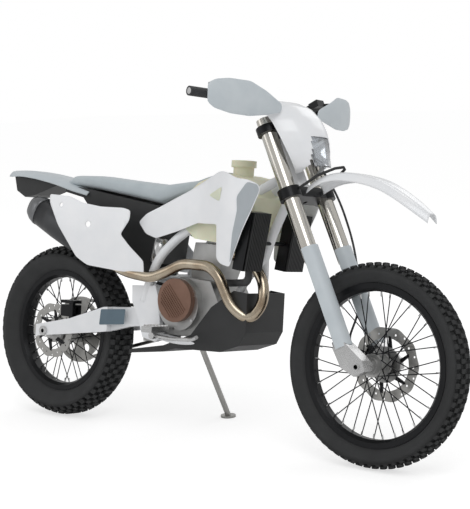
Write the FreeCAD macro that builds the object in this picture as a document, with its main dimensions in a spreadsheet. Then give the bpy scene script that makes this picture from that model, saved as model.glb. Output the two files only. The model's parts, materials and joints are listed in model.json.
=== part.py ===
"""Enduro motorcycle, leaning on its side stand.

Row frame: +X forward, +Y to the rider's left, +Z up, origin on the floor midway between the axles.
Every piece is drawn on the upright machine and then leaned about the floor line under the tyres,
so that both tyres and the stand's foot rest on the floor.
The steered pieces are drawn in the steering frame: x forward of the steering axis, y left, z up the axis.
"""
import FreeCAD
import Part

import math
import os

V = FreeCAD.Vector
Placement = FreeCAD.Placement
Rotation = FreeCAD.Rotation

SIZES = [
    # overall layout
    ("wheelbase", 1487.0),
    ("lean_deg", 8.5),
    ("rake_deg", 26.5),
    ("axle_lead", 55.0),
    ("fork_lead", 16.0),
    ("fork_half_spacing", 102.0),
    # wheels
    ("front_tyre_radius", 350.0),
    ("front_tyre_half_width", 45.0),
    ("front_rim_radius", 279.0),
    ("rear_tyre_radius", 342.0),
    ("rear_tyre_half_width", 66.0),
    ("rear_rim_radius", 242.0),
    ("tyre_wall", 11.0),
    ("rim_wall", 3.5),
    ("spoke_radius", 1.9),
    ("axle_radius", 12.5),
    ("axle_bore_radius", 8.0),
    ("running_clearance", 0.05),
    ("seat_gap", 0.3),
    ("front_disc_radius", 130.0),
    ("rear_disc_radius", 110.0),
    ("disc_thickness", 4.0),
    ("sprocket_radius", 120.5),
    ("chain_height", 13.0),
    ("chain_half_width", 8.0),
    ("chain_line", 80.0),
    # fork and bars
    ("fork_tube_radius", 29.0),
    ("fork_leg_radius", 24.0),
    ("stem_radius", 15.0),
    ("head_tube_radius", 32.0),
    ("clamp_height", 38.0),
    ("bar_radius", 14.0),
    ("bar_end_radius", 11.0),
    ("grip_radius", 17.0),
    ("bar_half_width", 405.0),
    ("skin", 3.5),
    # frame, engine, exhaust
    ("spar_thickness", 22.0),
    ("frame_half_width", 122.0),
    ("cradle_radius", 14.0),
    ("swingarm_half_width", 126.0),
    ("pivot_tube_radius", 22.0),
    ("header_radius", 20.0),
    ("clutch_cover_radius", 80.0),
    ("stand_leg_radius", 11.0),
    ("stand_foot_radius", 30.0),
    ("stand_foot_height", 8.0),
    ("hose_radius", 4.0),
    ("coolant_hose_radius", 13.0),
]
DRAWN_WHEELBASE = 1487.0

doc = FreeCAD.newDocument("enduro")
sheet = doc.addObject("Spreadsheet::Sheet", "sizes")
for row, (alias, value) in enumerate(SIZES, start=1):
    sheet.set("A%d" % row, alias)
    sheet.set("B%d" % row, str(value))
    sheet.setAlias("B%d" % row, alias)
doc.recompute()


def size(alias):
    """The number in the cell with that alias."""
    return float(sheet.get(alias))


SKIN = size("skin")
GAP = size("seat_gap")
LEAN = Placement(V(0, 0, 0), Rotation(V(1, 0, 0), -size("lean_deg")))
UPRIGHT = Placement()
PIECES = []


def crown_radius(tyre_half_width):
    """The radius of a tyre's round tread, across the wheel."""
    return 1.25 * tyre_half_width


def axle_height(tyre_radius, tyre_half_width):
    """The upright height of an axle whose leaned tyre just touches the floor."""
    crown = crown_radius(tyre_half_width)
    return tyre_radius - crown + crown / math.cos(math.radians(size("lean_deg")))


def fore(x):
    """A station along the machine, which follows the wheelbase."""
    return x * size("wheelbase") / DRAWN_WHEELBASE


FRONT_AXLE = V(size("wheelbase") / 2, 0, axle_height(size("front_tyre_radius"), size("front_tyre_half_width")))
REAR_AXLE = V(-size("wheelbase") / 2, 0, axle_height(size("rear_tyre_radius"), size("rear_tyre_half_width")))
RAKE = math.radians(size("rake_deg"))
STEER_FOOT = FRONT_AXLE - V(math.cos(RAKE), 0, math.sin(RAKE)) * size("axle_lead")
STEER = Placement(STEER_FOOT, Rotation(V(0, 1, 0), -size("rake_deg")))


def keep(piece, label, place=UPRIGHT):
    """Names a finished sub-part and remembers where it stands on the upright machine."""
    piece.Label = label
    PIECES.append((piece, place))
    return piece


def bind(piece, prop, value):
    """Sets a property to a number, or ties it to the sheet when it is given as an expression."""
    if isinstance(value, str):
        piece.setExpression(prop, value)
    else:
        setattr(piece, prop, value)


def shaped(label, shape, place=UPRIGHT):
    """A sub-part whose shape is made with Part's own functions."""
    piece = doc.addObject("Part::Feature", label)
    piece.Shape = shape
    return keep(piece, label, place)


def rod(name, radius, length, base, axis):
    """A round bar as a Part::Cylinder, from base along axis."""
    bar = doc.addObject("Part::Cylinder", name)
    bind(bar, "Radius", radius)
    bind(bar, "Height", length)
    bar.Placement = Placement(base, Rotation(V(0, 0, 1), axis))
    return bar


def block(name, low, high):
    """A Part::Box between two corners."""
    box = doc.addObject("Part::Box", name)
    box.Length, box.Width, box.Height = high[0] - low[0], high[1] - low[1], high[2] - low[2]
    box.Placement = Placement(V(*low), Rotation())
    return box


def fused(name, pieces):
    """A Part::MultiFuse of pieces that touch."""
    whole = doc.addObject("Part::MultiFuse", name)
    whole.Shapes = pieces
    return whole


def less(name, base, tool):
    """base with tool cut out of it."""
    cut = doc.addObject("Part::Cut", name)
    cut.Base, cut.Tool = base, tool
    return cut


def together(name, pieces):
    """Like pieces that don't touch, in one Part::Compound."""
    group = doc.addObject("Part::Compound", name)
    group.Links = pieces
    return group


def origin_plane(body, role):
    """A body's own origin plane, such as XZ_Plane."""
    return next(f for f in body.Origin.OriginFeatures if f.Role == role)


def origin_axis(body, role):
    """A body's own origin axis, such as Y_Axis."""
    return next(f for f in body.Origin.OriginFeatures if f.Role == role)


def draw(sketch, outline):
    """Closes an outline of (x, y) points with straight lines; a point with a middle first is an arc."""
    corners = [step[-1] for step in outline]
    for before, step in zip([corners[-1]] + corners[:-1], outline):
        start, end = V(before[0], before[1], 0), V(step[-1][0], step[-1][1], 0)
        if len(step) == 2:
            middle = V(step[0][0], step[0][1], 0)
            sketch.addGeometry(Part.Arc(start, middle, end), False)
        else:
            sketch.addGeometry(Part.LineSegment(start, end), False)


def straight(points):
    """An outline of straight runs."""
    return [(p,) for p in points]


def turned(name, outline):
    """A body revolved about Y from an outline of (y, radius) points."""
    body = doc.addObject("PartDesign::Body", name)
    sketch = body.newObject("Sketcher::SketchObject", name + "_section")
    sketch.AttachmentSupport = [(origin_plane(body, "XY_Plane"), "")]
    sketch.MapMode = "FlatFace"
    draw(sketch, [tuple((p[1], p[0]) for p in step) for step in outline])
    turn = body.newObject("PartDesign::Revolution", name + "_turn")
    turn.Profile = sketch
    turn.ReferenceAxis = (origin_axis(body, "Y_Axis"), [""])
    turn.Angle = 360.0
    body.Tip = turn
    return body


def plate(name, outline, width, centre=0.0):
    """A body padded across the machine from an outline of (x, z) points; width may be an expression."""
    body = doc.addObject("PartDesign::Body", name)
    sketch = body.newObject("Sketcher::SketchObject", name + "_outline")
    sketch.AttachmentSupport = [(origin_plane(body, "XZ_Plane"), "")]
    sketch.MapMode = "FlatFace"
    sketch.AttachmentOffset = Placement(V(0, 0, -centre), Rotation())
    draw(sketch, outline)
    pad = body.newObject("PartDesign::Pad", name + "_pad")
    pad.Profile = sketch
    bind(pad, "Length", width)
    pad.Midplane = True
    body.Tip = pad
    return body


def path_wire(points, share=0.45):
    """Straight runs joined by tangent arcs, each as large as its two runs allow."""
    edges, last = [], points[0]
    for before, corner, after in zip(points, points[1:], points[2:]):
        back, ahead = before - corner, after - corner
        turn = math.pi - back.getAngle(ahead)
        if turn < 1e-3:
            continue
        shorter = min(back.Length, ahead.Length)
        reach = share * shorter
        start = corner + back.normalize() * reach
        end = corner + ahead.normalize() * reach
        radius = reach / math.tan(turn / 2)
        inward = (start + end) * 0.5 - corner
        middle = corner + inward.normalize() * (radius / math.cos(turn / 2) - radius)
        edges.append(Part.LineSegment(last, start).toShape())
        edges.append(Part.Arc(start, middle, end).toShape())
        last = end
    edges.append(Part.LineSegment(last, points[-1]).toShape())
    return Part.Wire(edges)


def tube(points, radius, bore=0.0, share=0.45):
    """A round tube along points, hollow when it has a bore."""
    wire = path_wire([V(*p) for p in points], share)
    start, along = wire.Edges[0].Vertexes[0].Point, wire.Edges[0].tangentAt(wire.Edges[0].FirstParameter)

    def swept(r):
        ring = Part.Wire(Part.Circle(start, along, r).toShape())
        return wire.makePipeShell([ring], True, True)

    solid = swept(radius)
    return solid.cut(swept(bore)) if bore else solid


def mirrored(shape):
    """The same shape on the other side of the machine."""
    return shape.mirror(V(0, 0, 0), V(0, 1, 0))


def prism(points, low, high):
    """A straight slab between two distances across the machine, from (x, z) points."""
    corners = [V(x, low, z) for x, z in points]
    face = Part.Face(Part.makePolygon(corners + corners[:1]))
    return face.extrude(V(0, high - low, 0))


def stations(points):
    """Outline points whose x follows the wheelbase."""
    return [(fore(x), z) for x, z in points]


def in_rotated_steering(x, z):
    """A point of the upright machine's side view, in the steering frame."""
    dx, dz = x - STEER_FOOT.x, z - STEER_FOOT.z
    return (dx * math.cos(RAKE) + dz * math.sin(RAKE), -dx * math.sin(RAKE) + dz * math.cos(RAKE))


# ---------------------------------------------------------------- wheels
def rim(name, radius, half_width, place):
    """A drop-centre rim: two flanges and a well."""
    wall = size("rim_wall")
    bed = radius - 15
    well = bed - 10
    w, m = half_width, 0.55 * half_width
    outline = straight([
        (-w, radius), (-w, bed - wall), (-m, well - wall), (m, well - wall), (w, bed - wall), (w, radius),
        (w - wall, radius), (w - wall, bed), (m - 1, well), (1 - m, well), (wall - w, bed), (wall - w, radius),
    ])
    return keep(turned(name, outline), name, place)


def tyre(name, radius, half_width, rim_radius, rim_half_width, place):
    """A round-crowned tyre seated between the rim's flanges."""
    wall = size("tyre_wall")
    bead = rim_half_width - size("rim_wall") - GAP
    foot = rim_radius - 15 + 2 * GAP
    shoulder = 0.88 * half_width
    crown = crown_radius(half_width)
    edge = radius - crown + math.sqrt(crown ** 2 - shoulder ** 2)
    belly = 0.5 * (rim_radius + radius)
    inner = radius - wall
    outline = [
        ((-bead, foot),), ((-bead, rim_radius + 2),),
        ((-half_width, belly), (-shoulder, edge)),
        ((0, radius), (shoulder, edge)),
        ((half_width, belly), (bead, rim_radius + 2)),
        ((bead, foot),), ((bead - 6, foot),), ((bead - 6, rim_radius + 4),),
        ((half_width - wall, belly), (shoulder - wall, edge - wall)),
        ((0, inner), (wall - shoulder, edge - wall)),
        ((wall - half_width, belly), (6 - bead, rim_radius + 4)),
        ((6 - bead, foot),),
    ]
    return keep(turned(name, outline), name, place)


def spokes(label, hub_radius, flange, rim_radius, place, count=36, sweep_deg=52.0):
    """Crossed spokes: each flange has leading spokes outside it and trailing ones inside."""
    bars = []
    step = 360.0 / count
    for k in range(count):
        side = 1 if k % 2 else -1
        leading = 1 if (k // 2) % 2 else -1
        at_rim = math.radians(k * step)
        at_hub = math.radians(k * step + leading * sweep_deg)
        y_hub = side * (flange + 2.5 * leading)
        foot = V(hub_radius * math.cos(at_hub), y_hub, hub_radius * math.sin(at_hub))
        head = V(rim_radius * math.cos(at_rim), side * 6.0, rim_radius * math.sin(at_rim))
        along = head - foot
        bars.append(Part.makeCylinder(size("spoke_radius"), along.Length, foot, along))
    return shaped(label, Part.makeCompound(bars), place)


def clear_of(shape, *others):
    """A shape with the room that other pieces fill cut out of it."""
    for other in others:
        shape = shape.cut(other)
    return shape


def moved(shape, place):
    """A copy of a shape, put where a placement says."""
    copy = shape.copy()
    copy.Placement = place.multiply(copy.Placement)
    return copy


FRONT_RIM_HALF, REAR_RIM_HALF = 25.0, 33.0
FRONT_PLACE, REAR_PLACE = Placement(FRONT_AXLE, Rotation()), Placement(REAR_AXLE, Rotation())
FRONT_FLANGE, REAR_FLANGE = 28.0, 32.0
FRONT_HUB_END, REAR_HUB_END = 52.0, 88.0

tyre("front_tyre", size("front_tyre_radius"), size("front_tyre_half_width"), size("front_rim_radius"),
     FRONT_RIM_HALF, FRONT_PLACE)
tyre("rear_tyre", size("rear_tyre_radius"), size("rear_tyre_half_width"), size("rear_rim_radius"),
     REAR_RIM_HALF, REAR_PLACE)
rim("front_rim", size("front_rim_radius"), FRONT_RIM_HALF, FRONT_PLACE)
rim("rear_rim", size("rear_rim_radius"), REAR_RIM_HALF, REAR_PLACE)
SPOKE_BED = 15 + 10 + size("rim_wall")
spokes("front_spokes", 40.0 + 0.88 * size("spoke_radius"), FRONT_FLANGE, size("front_rim_radius") - SPOKE_BED - 0.5, FRONT_PLACE)
spokes("rear_spokes", 46.0 + 0.88 * size("spoke_radius"), REAR_FLANGE, size("rear_rim_radius") - SPOKE_BED - 0.5, REAR_PLACE)


def hub_outline(flange, flange_radius, barrel, ends, bosses):
    """Half a hub's section: barrel, two flanges and the bosses that carry discs and sprocket."""
    bore = size("axle_radius") + size("running_clearance")
    left, right = bosses
    return straight([
        (-ends[0], bore), (-ends[0], 22), (-right[1], 22), (-right[1], right[2]), (-right[0], right[2]),
        (-right[0], barrel + 4), (-flange - 6, barrel + 4), (-flange - 6, flange_radius),
        (6 - flange, flange_radius), (6 - flange, barrel), (flange - 6, barrel), (flange - 6, flange_radius),
        (flange + 6, flange_radius), (flange + 6, barrel + 4), (left[0], barrel + 4), (left[0], left[2]),
        (left[1], left[2]), (left[1], 22), (ends[1], 22), (ends[1], bore),
    ])


DISC_AT = 56.0
front_hub = turned("front_hub_core", hub_outline(
    FRONT_FLANGE, 40, 24, (FRONT_HUB_END, DISC_AT + 4), ((50, DISC_AT, 62), (44, 48, 30))))
keep(front_hub, "front_hub", FRONT_PLACE)


def disc(name, inner, at, place):
    """A floating brake disc with six windows, standing between at and at plus its thickness."""
    radius = size(name + "_radius")
    wheel = rod(name + "_plate", "sizes.%s_radius" % name, "sizes.disc_thickness", V(0, at, 0), V(0, 1, 0))
    hole = rod(name + "_hole", inner, "sizes.disc_thickness", V(0, at, 0), V(0, 1, 0))
    windows = [
        rod(name + "_window%d" % k, 0.13 * radius, "sizes.disc_thickness",
            V(0.72 * radius * math.cos(k * math.pi / 3), at, 0.72 * radius * math.sin(k * math.pi / 3)), V(0, 1, 0))
        for k in range(6)
    ]
    return keep(less(name, wheel, fused(name + "_holes", [hole] + windows)), name, place)


disc("front_disc", 44.0, DISC_AT, FRONT_PLACE)

REAR_DISC_AT, SPROCKET_AT = -76.0, 76.0
rear_hub = turned("rear_hub_core", hub_outline(
    REAR_FLANGE, 46, 27, (84, 90), ((60, 76, 52), (60, 72, 48))))
keep(rear_hub, "rear_hub", REAR_PLACE)
disc("rear_disc", 38.0, REAR_DISC_AT, REAR_PLACE)

sprocket_wheel = rod("sprocket_wheel", "sizes.sprocket_radius", 7.0, V(0, SPROCKET_AT, 0), V(0, 1, 0))
sprocket_hole = rod("sprocket_hole", 30.0, 7.0, V(0, SPROCKET_AT, 0), V(0, 1, 0))
sprocket_windows = [
    rod("sprocket_window%d" % k, 17.0, 7.0,
        V(84 * math.cos(k * math.pi / 3), SPROCKET_AT, 84 * math.sin(k * math.pi / 3)), V(0, 1, 0))
    for k in range(6)
]
keep(less("sprocket", sprocket_wheel, fused("sprocket_holes", [sprocket_hole] + sprocket_windows)),
     "sprocket", REAR_PLACE)


# ---------------------------------------------------------------- steering
FORK_X, FORK_Y = size("fork_lead"), size("fork_half_spacing")
TUBE_R, LEG_R = size("fork_tube_radius"), size("fork_leg_radius")
TUBE_BOTTOM, TUBE_TOP = 400.0, 940.0
LOWER_CLAMP, UPPER_CLAMP = 632.0, 884.0


def cylinder(radius, length, base, axis=V(0, 0, 1)):
    """A Part cylinder from base along axis."""
    return Part.makeCylinder(radius, length, V(*base), axis)


def both_sides(shape):
    """A shape and its mirror image, as one group."""
    return Part.makeCompound([shape, mirrored(shape)])


tubes = [
    rod("fork_tube_%s" % side, "sizes.fork_tube_radius", TUBE_TOP - TUBE_BOTTOM,
        V(FORK_X, y, TUBE_BOTTOM), V(0, 0, 1))
    for side, y in (("left", FORK_Y), ("right", -FORK_Y))
]
keep(together("fork_tubes_group", tubes), "fork_tubes", STEER)


def fork_foot():
    """The left foot: a block that carries the leg and the axle, with a collar for the guard."""
    lead, axle = size("axle_lead"), size("axle_radius")
    outline = [(FORK_X - 26, 92), (FORK_X - 20, 20), (lead - 22, -26), (lead + 24, -26),
               (lead + 30, 10), (FORK_X + 27, 92)]
    foot = prism(outline, FORK_Y - 25, FORK_Y + 25)
    foot = foot.fuse(cylinder(LEG_R, TUBE_BOTTOM - 80, (FORK_X, FORK_Y, 80)))
    foot = foot.fuse(cylinder(TUBE_R + 2, 30, (FORK_X, FORK_Y, 80)))
    return foot.cut(cylinder(axle, 80, (lead, FORK_Y - 40, 0), V(0, 1, 0))).removeSplitter()


fork_legs_shape = both_sides(fork_foot())
shaped("fork_legs", fork_legs_shape, STEER)


def fork_guard():
    """The left guard: a half shell in front of the inner tube, standing on the foot's collar."""
    inner, bottom, top = TUBE_R + 2, 82.0, 448.0
    shell = cylinder(inner + SKIN, top - bottom, (FORK_X, FORK_Y, bottom))
    shell = shell.cut(cylinder(inner, top - bottom, (FORK_X, FORK_Y, bottom)))
    back = Part.makeBox(60, 90, top - bottom, V(FORK_X - 70, FORK_Y - 45, bottom))
    return shell.cut(back)


fork_guards_shape = clear_of(both_sides(fork_guard()), fork_legs_shape)
shaped("fork_guards", fork_guards_shape, STEER)


def clamp(bottom, height, reach):
    """A triple clamp: two rings round the tubes and a bridge round the stem."""
    body = cylinder(TUBE_R + 11, height, (FORK_X, FORK_Y, bottom))
    body = body.fuse(cylinder(TUBE_R + 11, height, (FORK_X, -FORK_Y, bottom)))
    bridge = Part.makeBox(reach, 2 * FORK_Y - 40, height, V(-18, 20 - FORK_Y, bottom))
    body = body.fuse(bridge)
    for y in (FORK_Y, -FORK_Y):
        body = body.cut(cylinder(TUBE_R, height, (FORK_X, y, bottom)))
    return body


def steering_stem():
    """Both clamps on the hollow stem."""
    height = size("clamp_height")
    lower, upper = clamp(LOWER_CLAMP, height, 64), clamp(UPPER_CLAMP, 28, 58)
    stem = cylinder(size("stem_radius"), UPPER_CLAMP + 40 - LOWER_CLAMP, (0, 0, LOWER_CLAMP))
    whole = lower.fuse(upper).fuse(stem)
    bore = cylinder(9.0, 400, (0, 0, LOWER_CLAMP - 10))
    return whole.cut(bore).removeSplitter()


clamps_shape = steering_stem()
shaped("triple_clamps", clamps_shape, STEER)

FRONT_AXLE_REACH = FORK_Y + 31


def front_axle():
    """The hollow front axle with its end head and the two spacers beside the hub."""
    lead, radius = size("axle_lead"), size("axle_radius")
    along = V(0, 1, 0)
    shaft = cylinder(radius, 2 * FRONT_AXLE_REACH - 4, (lead, 2 - FRONT_AXLE_REACH, 0), along)
    head = cylinder(17.0, 6, (lead, FORK_Y + 25, 0), along)
    for at, length in ((60.3, FORK_Y - 25 - 60.3), (25 - FORK_Y, FORK_Y - 25 - 52.3)):
        shaft = shaft.fuse(cylinder(19.0, length, (lead, at, 0), along))
    bore = cylinder(size("axle_bore_radius"), 300, (lead, -150, 0), along)
    return shaft.fuse(head).cut(bore).removeSplitter()


shaped("front_axle", front_axle(), STEER)


def caliper(centre, disc_at, reach):
    """A brake caliper: two halves beside the disc joined by a bridge outside its rim."""
    cx, cz = centre
    outer = Part.makeBox(64, 44, 46, V(cx - 32, disc_at + 2 - 22, cz - 23))
    slot = Part.makeBox(70, 16, 60, V(cx - 35, disc_at + 2 - 8, cz - 30))
    bridge = Part.makeBox(12, 44, 46, V(reach - 12, disc_at + 2 - 22, cz - 23))
    return outer.cut(slot).fuse(bridge).removeSplitter()


def front_caliper():
    """The front caliper behind the left leg, with the lug that bolts to the foot."""
    body = caliper((-60, 62), DISC_AT, -86)
    lug = Part.makeBox(60, 12, 26, V(-50, FORK_Y - 37, 60))
    return body.fuse(lug).removeSplitter()


caliper_shape = clear_of(front_caliper(), fork_legs_shape, fork_guards_shape)
shaped("front_brake_caliper", caliper_shape.removeSplitter(), STEER)

BAR_CENTRE = (22.0, 0.0, 972.0)
BAR_BEND, BAR_END = (4.0, 215.0, 1022.0), (-36.0, size("bar_half_width"), 1046.0)


def along_grip(share):
    """A point on the left bar end, from its bend (0) to its tip (1)."""
    return V(*BAR_BEND) + (V(*BAR_END) - V(*BAR_BEND)) * share


def handlebar():
    """The bar, its thick middle and the two blocks that hold it on the upper clamp."""
    x, _, z = BAR_CENTRE
    left = [(x, 60, z), (x - 2, 110, z), BAR_BEND, BAR_END]
    bar = tube(left, size("bar_end_radius"), share=0.15)
    bar = bar.fuse(mirrored(bar))
    bar = bar.fuse(cylinder(size("bar_radius"), 140, (x, -70, z), V(0, 1, 0)))
    for y in (-58, 30):
        bar = bar.fuse(Part.makeBox(34, 28, z + 16 - UPPER_CLAMP - 28, V(x - 17, y, UPPER_CLAMP + 28)))
    return bar.removeSplitter()


bar_shape = handlebar()
shaped("handlebar", bar_shape, STEER)


def grip():
    """The left rubber sleeve with its inner flange."""
    start, end = along_grip(0.34), along_grip(1.0)
    along = end - start
    sleeve = Part.makeCylinder(size("grip_radius"), along.Length, start, along)
    sleeve = sleeve.fuse(Part.makeCylinder(size("grip_radius") + 8, 4, start, along))
    return sleeve.cut(Part.makeCylinder(size("bar_end_radius"), along.Length, start, along))


shaped("grips", both_sides(grip()), STEER)


def lever():
    """The left perch, its lever blade ahead of the grip and the small reservoir."""
    perch_at, along = along_grip(0.16), V(*BAR_END) - V(*BAR_BEND)
    perch = Part.makeCylinder(19, 34, perch_at, along)
    perch = perch.cut(Part.makeCylinder(size("bar_end_radius"), 34, perch_at, along))
    pivot = perch_at + V(34, 12, 2)
    tank = Part.makeBox(40, 46, 26, V(perch_at.x + 12, perch_at.y - 14, perch_at.z - 8))
    blade = tube([tuple(pivot), tuple(pivot + V(26, 26, -4)), tuple(pivot + V(22, 150, -2))], 5.0)
    return perch.fuse(tank.cut(Part.makeCylinder(18, 60, perch_at - V(0, 10, 0), along))).fuse(blade)


lever_shape = clear_of(lever(), bar_shape).removeSplitter()
shaped("clutch_lever", lever_shape, STEER)
shaped("front_brake_lever", mirrored(lever_shape), STEER)


def offset_wall(points, thickness, low, high, axis="z"):
    """A thin upright wall over a plan line of (x, y) points, from low to high."""
    line = [V(x, y, 0) for x, y in points]
    inner = [V(x, y - thickness, 0) for x, y in points]
    face = Part.Face(Part.makePolygon(line + inner[::-1] + line[:1]))
    face.translate(V(0, 0, low))
    return face.extrude(V(0, 0, high - low))


def front_face(points, low, high):
    """A slab along the machine from (y, z) points, between two distances ahead."""
    corners = [V(low, y, z) for y, z in points]
    return Part.Face(Part.makePolygon(corners + corners[:1])).extrude(V(high - low, 0, 0))


def hand_guard():
    """The left guard: a bent shield ahead of the grip, and the arm that holds it on the bar."""
    plan = [(372, 128), (366, 200), (345, 290), (318, 380), (285, 440)]
    outer = [V(x, y, 0) for x, y in plan]
    inner = [V(x - SKIN, y, 0) for x, y in plan]
    wall = Part.Face(Part.makePolygon(outer + inner[::-1] + outer[:1]))
    wall.translate(V(0, 0, 1150))
    wall = wall.extrude(V(0, 0, 170))
    outline = [(140, 1192), (140, 1226), (200, 1262), (262, 1290), (350, 1290), (400, 1284), (428, 1268),
               (428, 1206), (400, 1186), (340, 1174), (262, 1172), (180, 1184)]
    shield = wall.common(front_face(outline, 250, 420))
    start = STEER.multVec(along_grip(0.095))
    arm = tube([tuple(start), (start.x + 30, start.y, start.z), (363, 216, 1232)], 5.0)
    ring = Part.makeCylinder(17, 12, start, STEER.Rotation.multVec(V(*BAR_END) - V(*BAR_BEND)))
    bore = Part.makeCylinder(size("bar_end_radius"), 12, start,
                             STEER.Rotation.multVec(V(*BAR_END) - V(*BAR_BEND)))
    return shield.fuse(arm).fuse(ring).cut(bore).removeSplitter()


guard_shape = clear_of(hand_guard(), moved(bar_shape, STEER), moved(lever_shape, STEER))
guard_shape = max(guard_shape.Solids, key=lambda s: s.Volume)
guards_piece = shaped("hand_guards", both_sides(guard_shape))


def channel(plan, thickness, start, along):
    """A wall of a plan line of (x, y) points, pushed along a slanted direction."""
    outer = [V(x, y, 0) for x, y in plan]
    inner = [V(x - thickness, y * (1 - thickness / 130), 0) for x, y in plan]
    face = Part.Face(Part.makePolygon(outer + inner[::-1] + outer[:1]))
    face.translate(start)
    return face.extrude(along)


MASK_SLANT = V(200, 0, -258)
MASK_START = V(300, 0, 1262)
MASK_PLAN = [(-44, -136), (-8, -112), (0, -60), (0, 60), (-8, 112), (-44, 136)]
LENS_OUTLINE = [(462, 1122), (491, 1024), (452, 1012), (404, 1046), (400, 1118)]


def mask():
    """The headlight mask: a slanted channel trimmed to its side outline, open where the lamp sits."""
    wall = channel(MASK_PLAN, SKIN, MASK_START, MASK_SLANT)
    side = [(262, 1236), (296, 1248), (362, 1240), (408, 1214), (443, 1169), (470, 1110), (497, 1022),
            (470, 1012), (440, 1030), (380, 1092), (318, 1120)]
    shell = wall.common(prism(side, -140, 140))
    cheeks = []
    for low, high in ((-137.5, -134), (134, 137.5)):
        cheeks.append(prism([(262, 1232), (330, 1236), (400, 1150), (438, 1080), (424, 1062), (380, 1092),
                             (318, 1120)], low, high))
    for cheek in cheeks:
        shell = shell.fuse(cheek)
    return shell


mask_shape = clear_of(mask(), moved(bar_shape, STEER), moved(clamps_shape, STEER))
mask_shape = max(mask_shape.Solids, key=lambda s: s.Volume)
shaped("headlight_mask", mask_shape.removeSplitter())
lamp = prism(LENS_OUTLINE, -64, 64)
lamp_shape = clear_of(lamp, mask_shape)
shaped("headlight", max(lamp_shape.Solids, key=lambda s: s.Volume))


def arched(outline, half_width, thickness, drop):
    """A mudguard: a curved strip of side-view points with a flange of the given drop on each edge."""
    top = [V(x, 0, z) for x, z in outline]
    low = [V(x, 0, z - thickness) for x, z in outline]
    strip = Part.Face(Part.makePolygon(top + low[::-1] + top[:1]))
    strip.translate(V(0, -half_width, 0))
    whole = strip.extrude(V(0, 2 * half_width, 0))
    low = [V(x, 0, z - drop) for x, z in outline]
    for y in (-half_width, half_width - thickness):
        flange = Part.Face(Part.makePolygon(top + low[::-1] + top[:1]))
        flange.translate(V(0, y, 0))
        whole = whole.fuse(flange.extrude(V(0, thickness, 0)))
    return whole.removeSplitter()


FENDER_LINE = [(440, 950), (500, 985), (610, 1000), (700, 984), (786, 953), (860, 912), (936, 858)]
fender_shape = clear_of(arched(FENDER_LINE, 58, SKIN, 26), moved(clamps_shape, STEER), lamp_shape, mask_shape)
shaped("front_fender", max(fender_shape.Solids, key=lambda s: s.Volume))


HOSE = [(50, -240, 1030), (62, -180, 1046), (42, -60, 1012), (46, 0, 992), (56, 30, 920), (58, 60, 800),
        (56, 136, 640), (44, 146, 440),
        (-14, 142, 240), (-60, 72, 140), (-60, 72, 84)]
hose_shape = clear_of(tube(HOSE, size("hose_radius")), clamps_shape, bar_shape, mirrored(lever_shape), caliper_shape)
shaped("brake_hose", max(hose_shape.Solids, key=lambda s: s.Volume), STEER)


# ---------------------------------------------------------------- frame
PIVOT = V(-190, 0, 430)
HALF = size("frame_half_width")
TUBE = size("cradle_radius")


def spar():
    """The left side of the frame: spar, pivot plate and cradle."""
    line = [(350, 14, 990), (180, 66, 890), (-60, 106, 760), (-165, HALF - 10, 664), (-205, HALF - 8, 560),
            (-222, HALF - 8, 500)]
    side = tube(line, 0.5 * size("spar_thickness") + 6)
    plate_outline = [(-278, 555), (-160, 560), (-140, 500), (-132, 430), (-120, 372), (-150, 352),
                     (-215, 365), (-240, 430), (-275, 495)]
    side = side.fuse(prism(plate_outline, HALF - 17, HALF + 3))
    cradle = [(248, 0, 690), (214, 52, 612), (176, 84, 520), (140, 92, 400), (60, 96, 362), (-60, 104, 362),
              (-165, HALF - 8, 380)]
    return side.fuse(tube(cradle, TUBE))


def frame():
    """The whole frame: head tube, downtube, both sides and the cross tubes."""
    head = cylinder(size("head_tube_radius"), 200, (0, 0, 677))
    head.Placement = STEER
    whole = spar()
    whole = whole.fuse(mirrored(whole)).fuse(head)
    whole = whole.fuse(tube([(366, 0, 950), (285, 0, 790), (246, 0, 684)], TUBE + 3))
    for x, z in ((-200, 590), (-168, 378)):
        whole = whole.fuse(cylinder(12, 2 * HALF - 20, (x, 10 - HALF, z), V(0, 1, 0)))
    bore = cylinder(size("stem_radius") + size("running_clearance"), 260, (0, 0, 660))
    bore.Placement = STEER
    pivot_hole = cylinder(10, 300, (PIVOT.x, -150, PIVOT.z), V(0, 1, 0))
    return whole.cut(bore).cut(pivot_hole).removeSplitter()


frame_shape = frame()
shaped("frame", frame_shape)


def arm_outline(side):
    """A swingarm's side view; the left arm is slimmer where the chain passes round it."""
    axle_x, axle_z = REAR_AXLE.x, REAR_AXLE.z
    rise = 470 if side < 0 else 449
    return [(PIVOT.x + 8, PIVOT.z - 20), (-300, 396), (-420, 366), (axle_x - 46, axle_z - 24),
            (axle_x - 46, axle_z + 22), (-600, 404), (-420, rise - 8), (-280, rise), (PIVOT.x + 8, PIVOT.z + 20)]


def swingarm():
    """Both arms, the pivot sleeve, the bridge ahead of the tyre and the axle holes."""
    whole = cylinder(size("pivot_tube_radius"), 206, (PIVOT.x, -103, PIVOT.z), V(0, 1, 0))
    for side in (-1, 1):
        arm = prism(arm_outline(side), -130, 130)
        low, high = sorted((side * 78, side * 103))
        front = Part.makeBox(260, high - low, 300, V(-430, low, 250))
        low, high = sorted((side * 101, side * size("swingarm_half_width")))
        rear = Part.makeBox(430, high - low, 300, V(-830, low, 250))
        whole = whole.fuse(arm.common(front.fuse(rear)))
    whole = whole.fuse(Part.makeBox(60, 160, 44, V(-330, -80, 402)))
    bolt = cylinder(10, 250, (PIVOT.x, -125, PIVOT.z), V(0, 1, 0))
    whole = whole.fuse(bolt)
    return whole.cut(cylinder(size("axle_radius"), 300, (REAR_AXLE.x, -150, REAR_AXLE.z), V(0, 1, 0)))


swingarm_shape = clear_of(swingarm().removeSplitter(), frame_shape)
shaped("swingarm", swingarm_shape)


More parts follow.
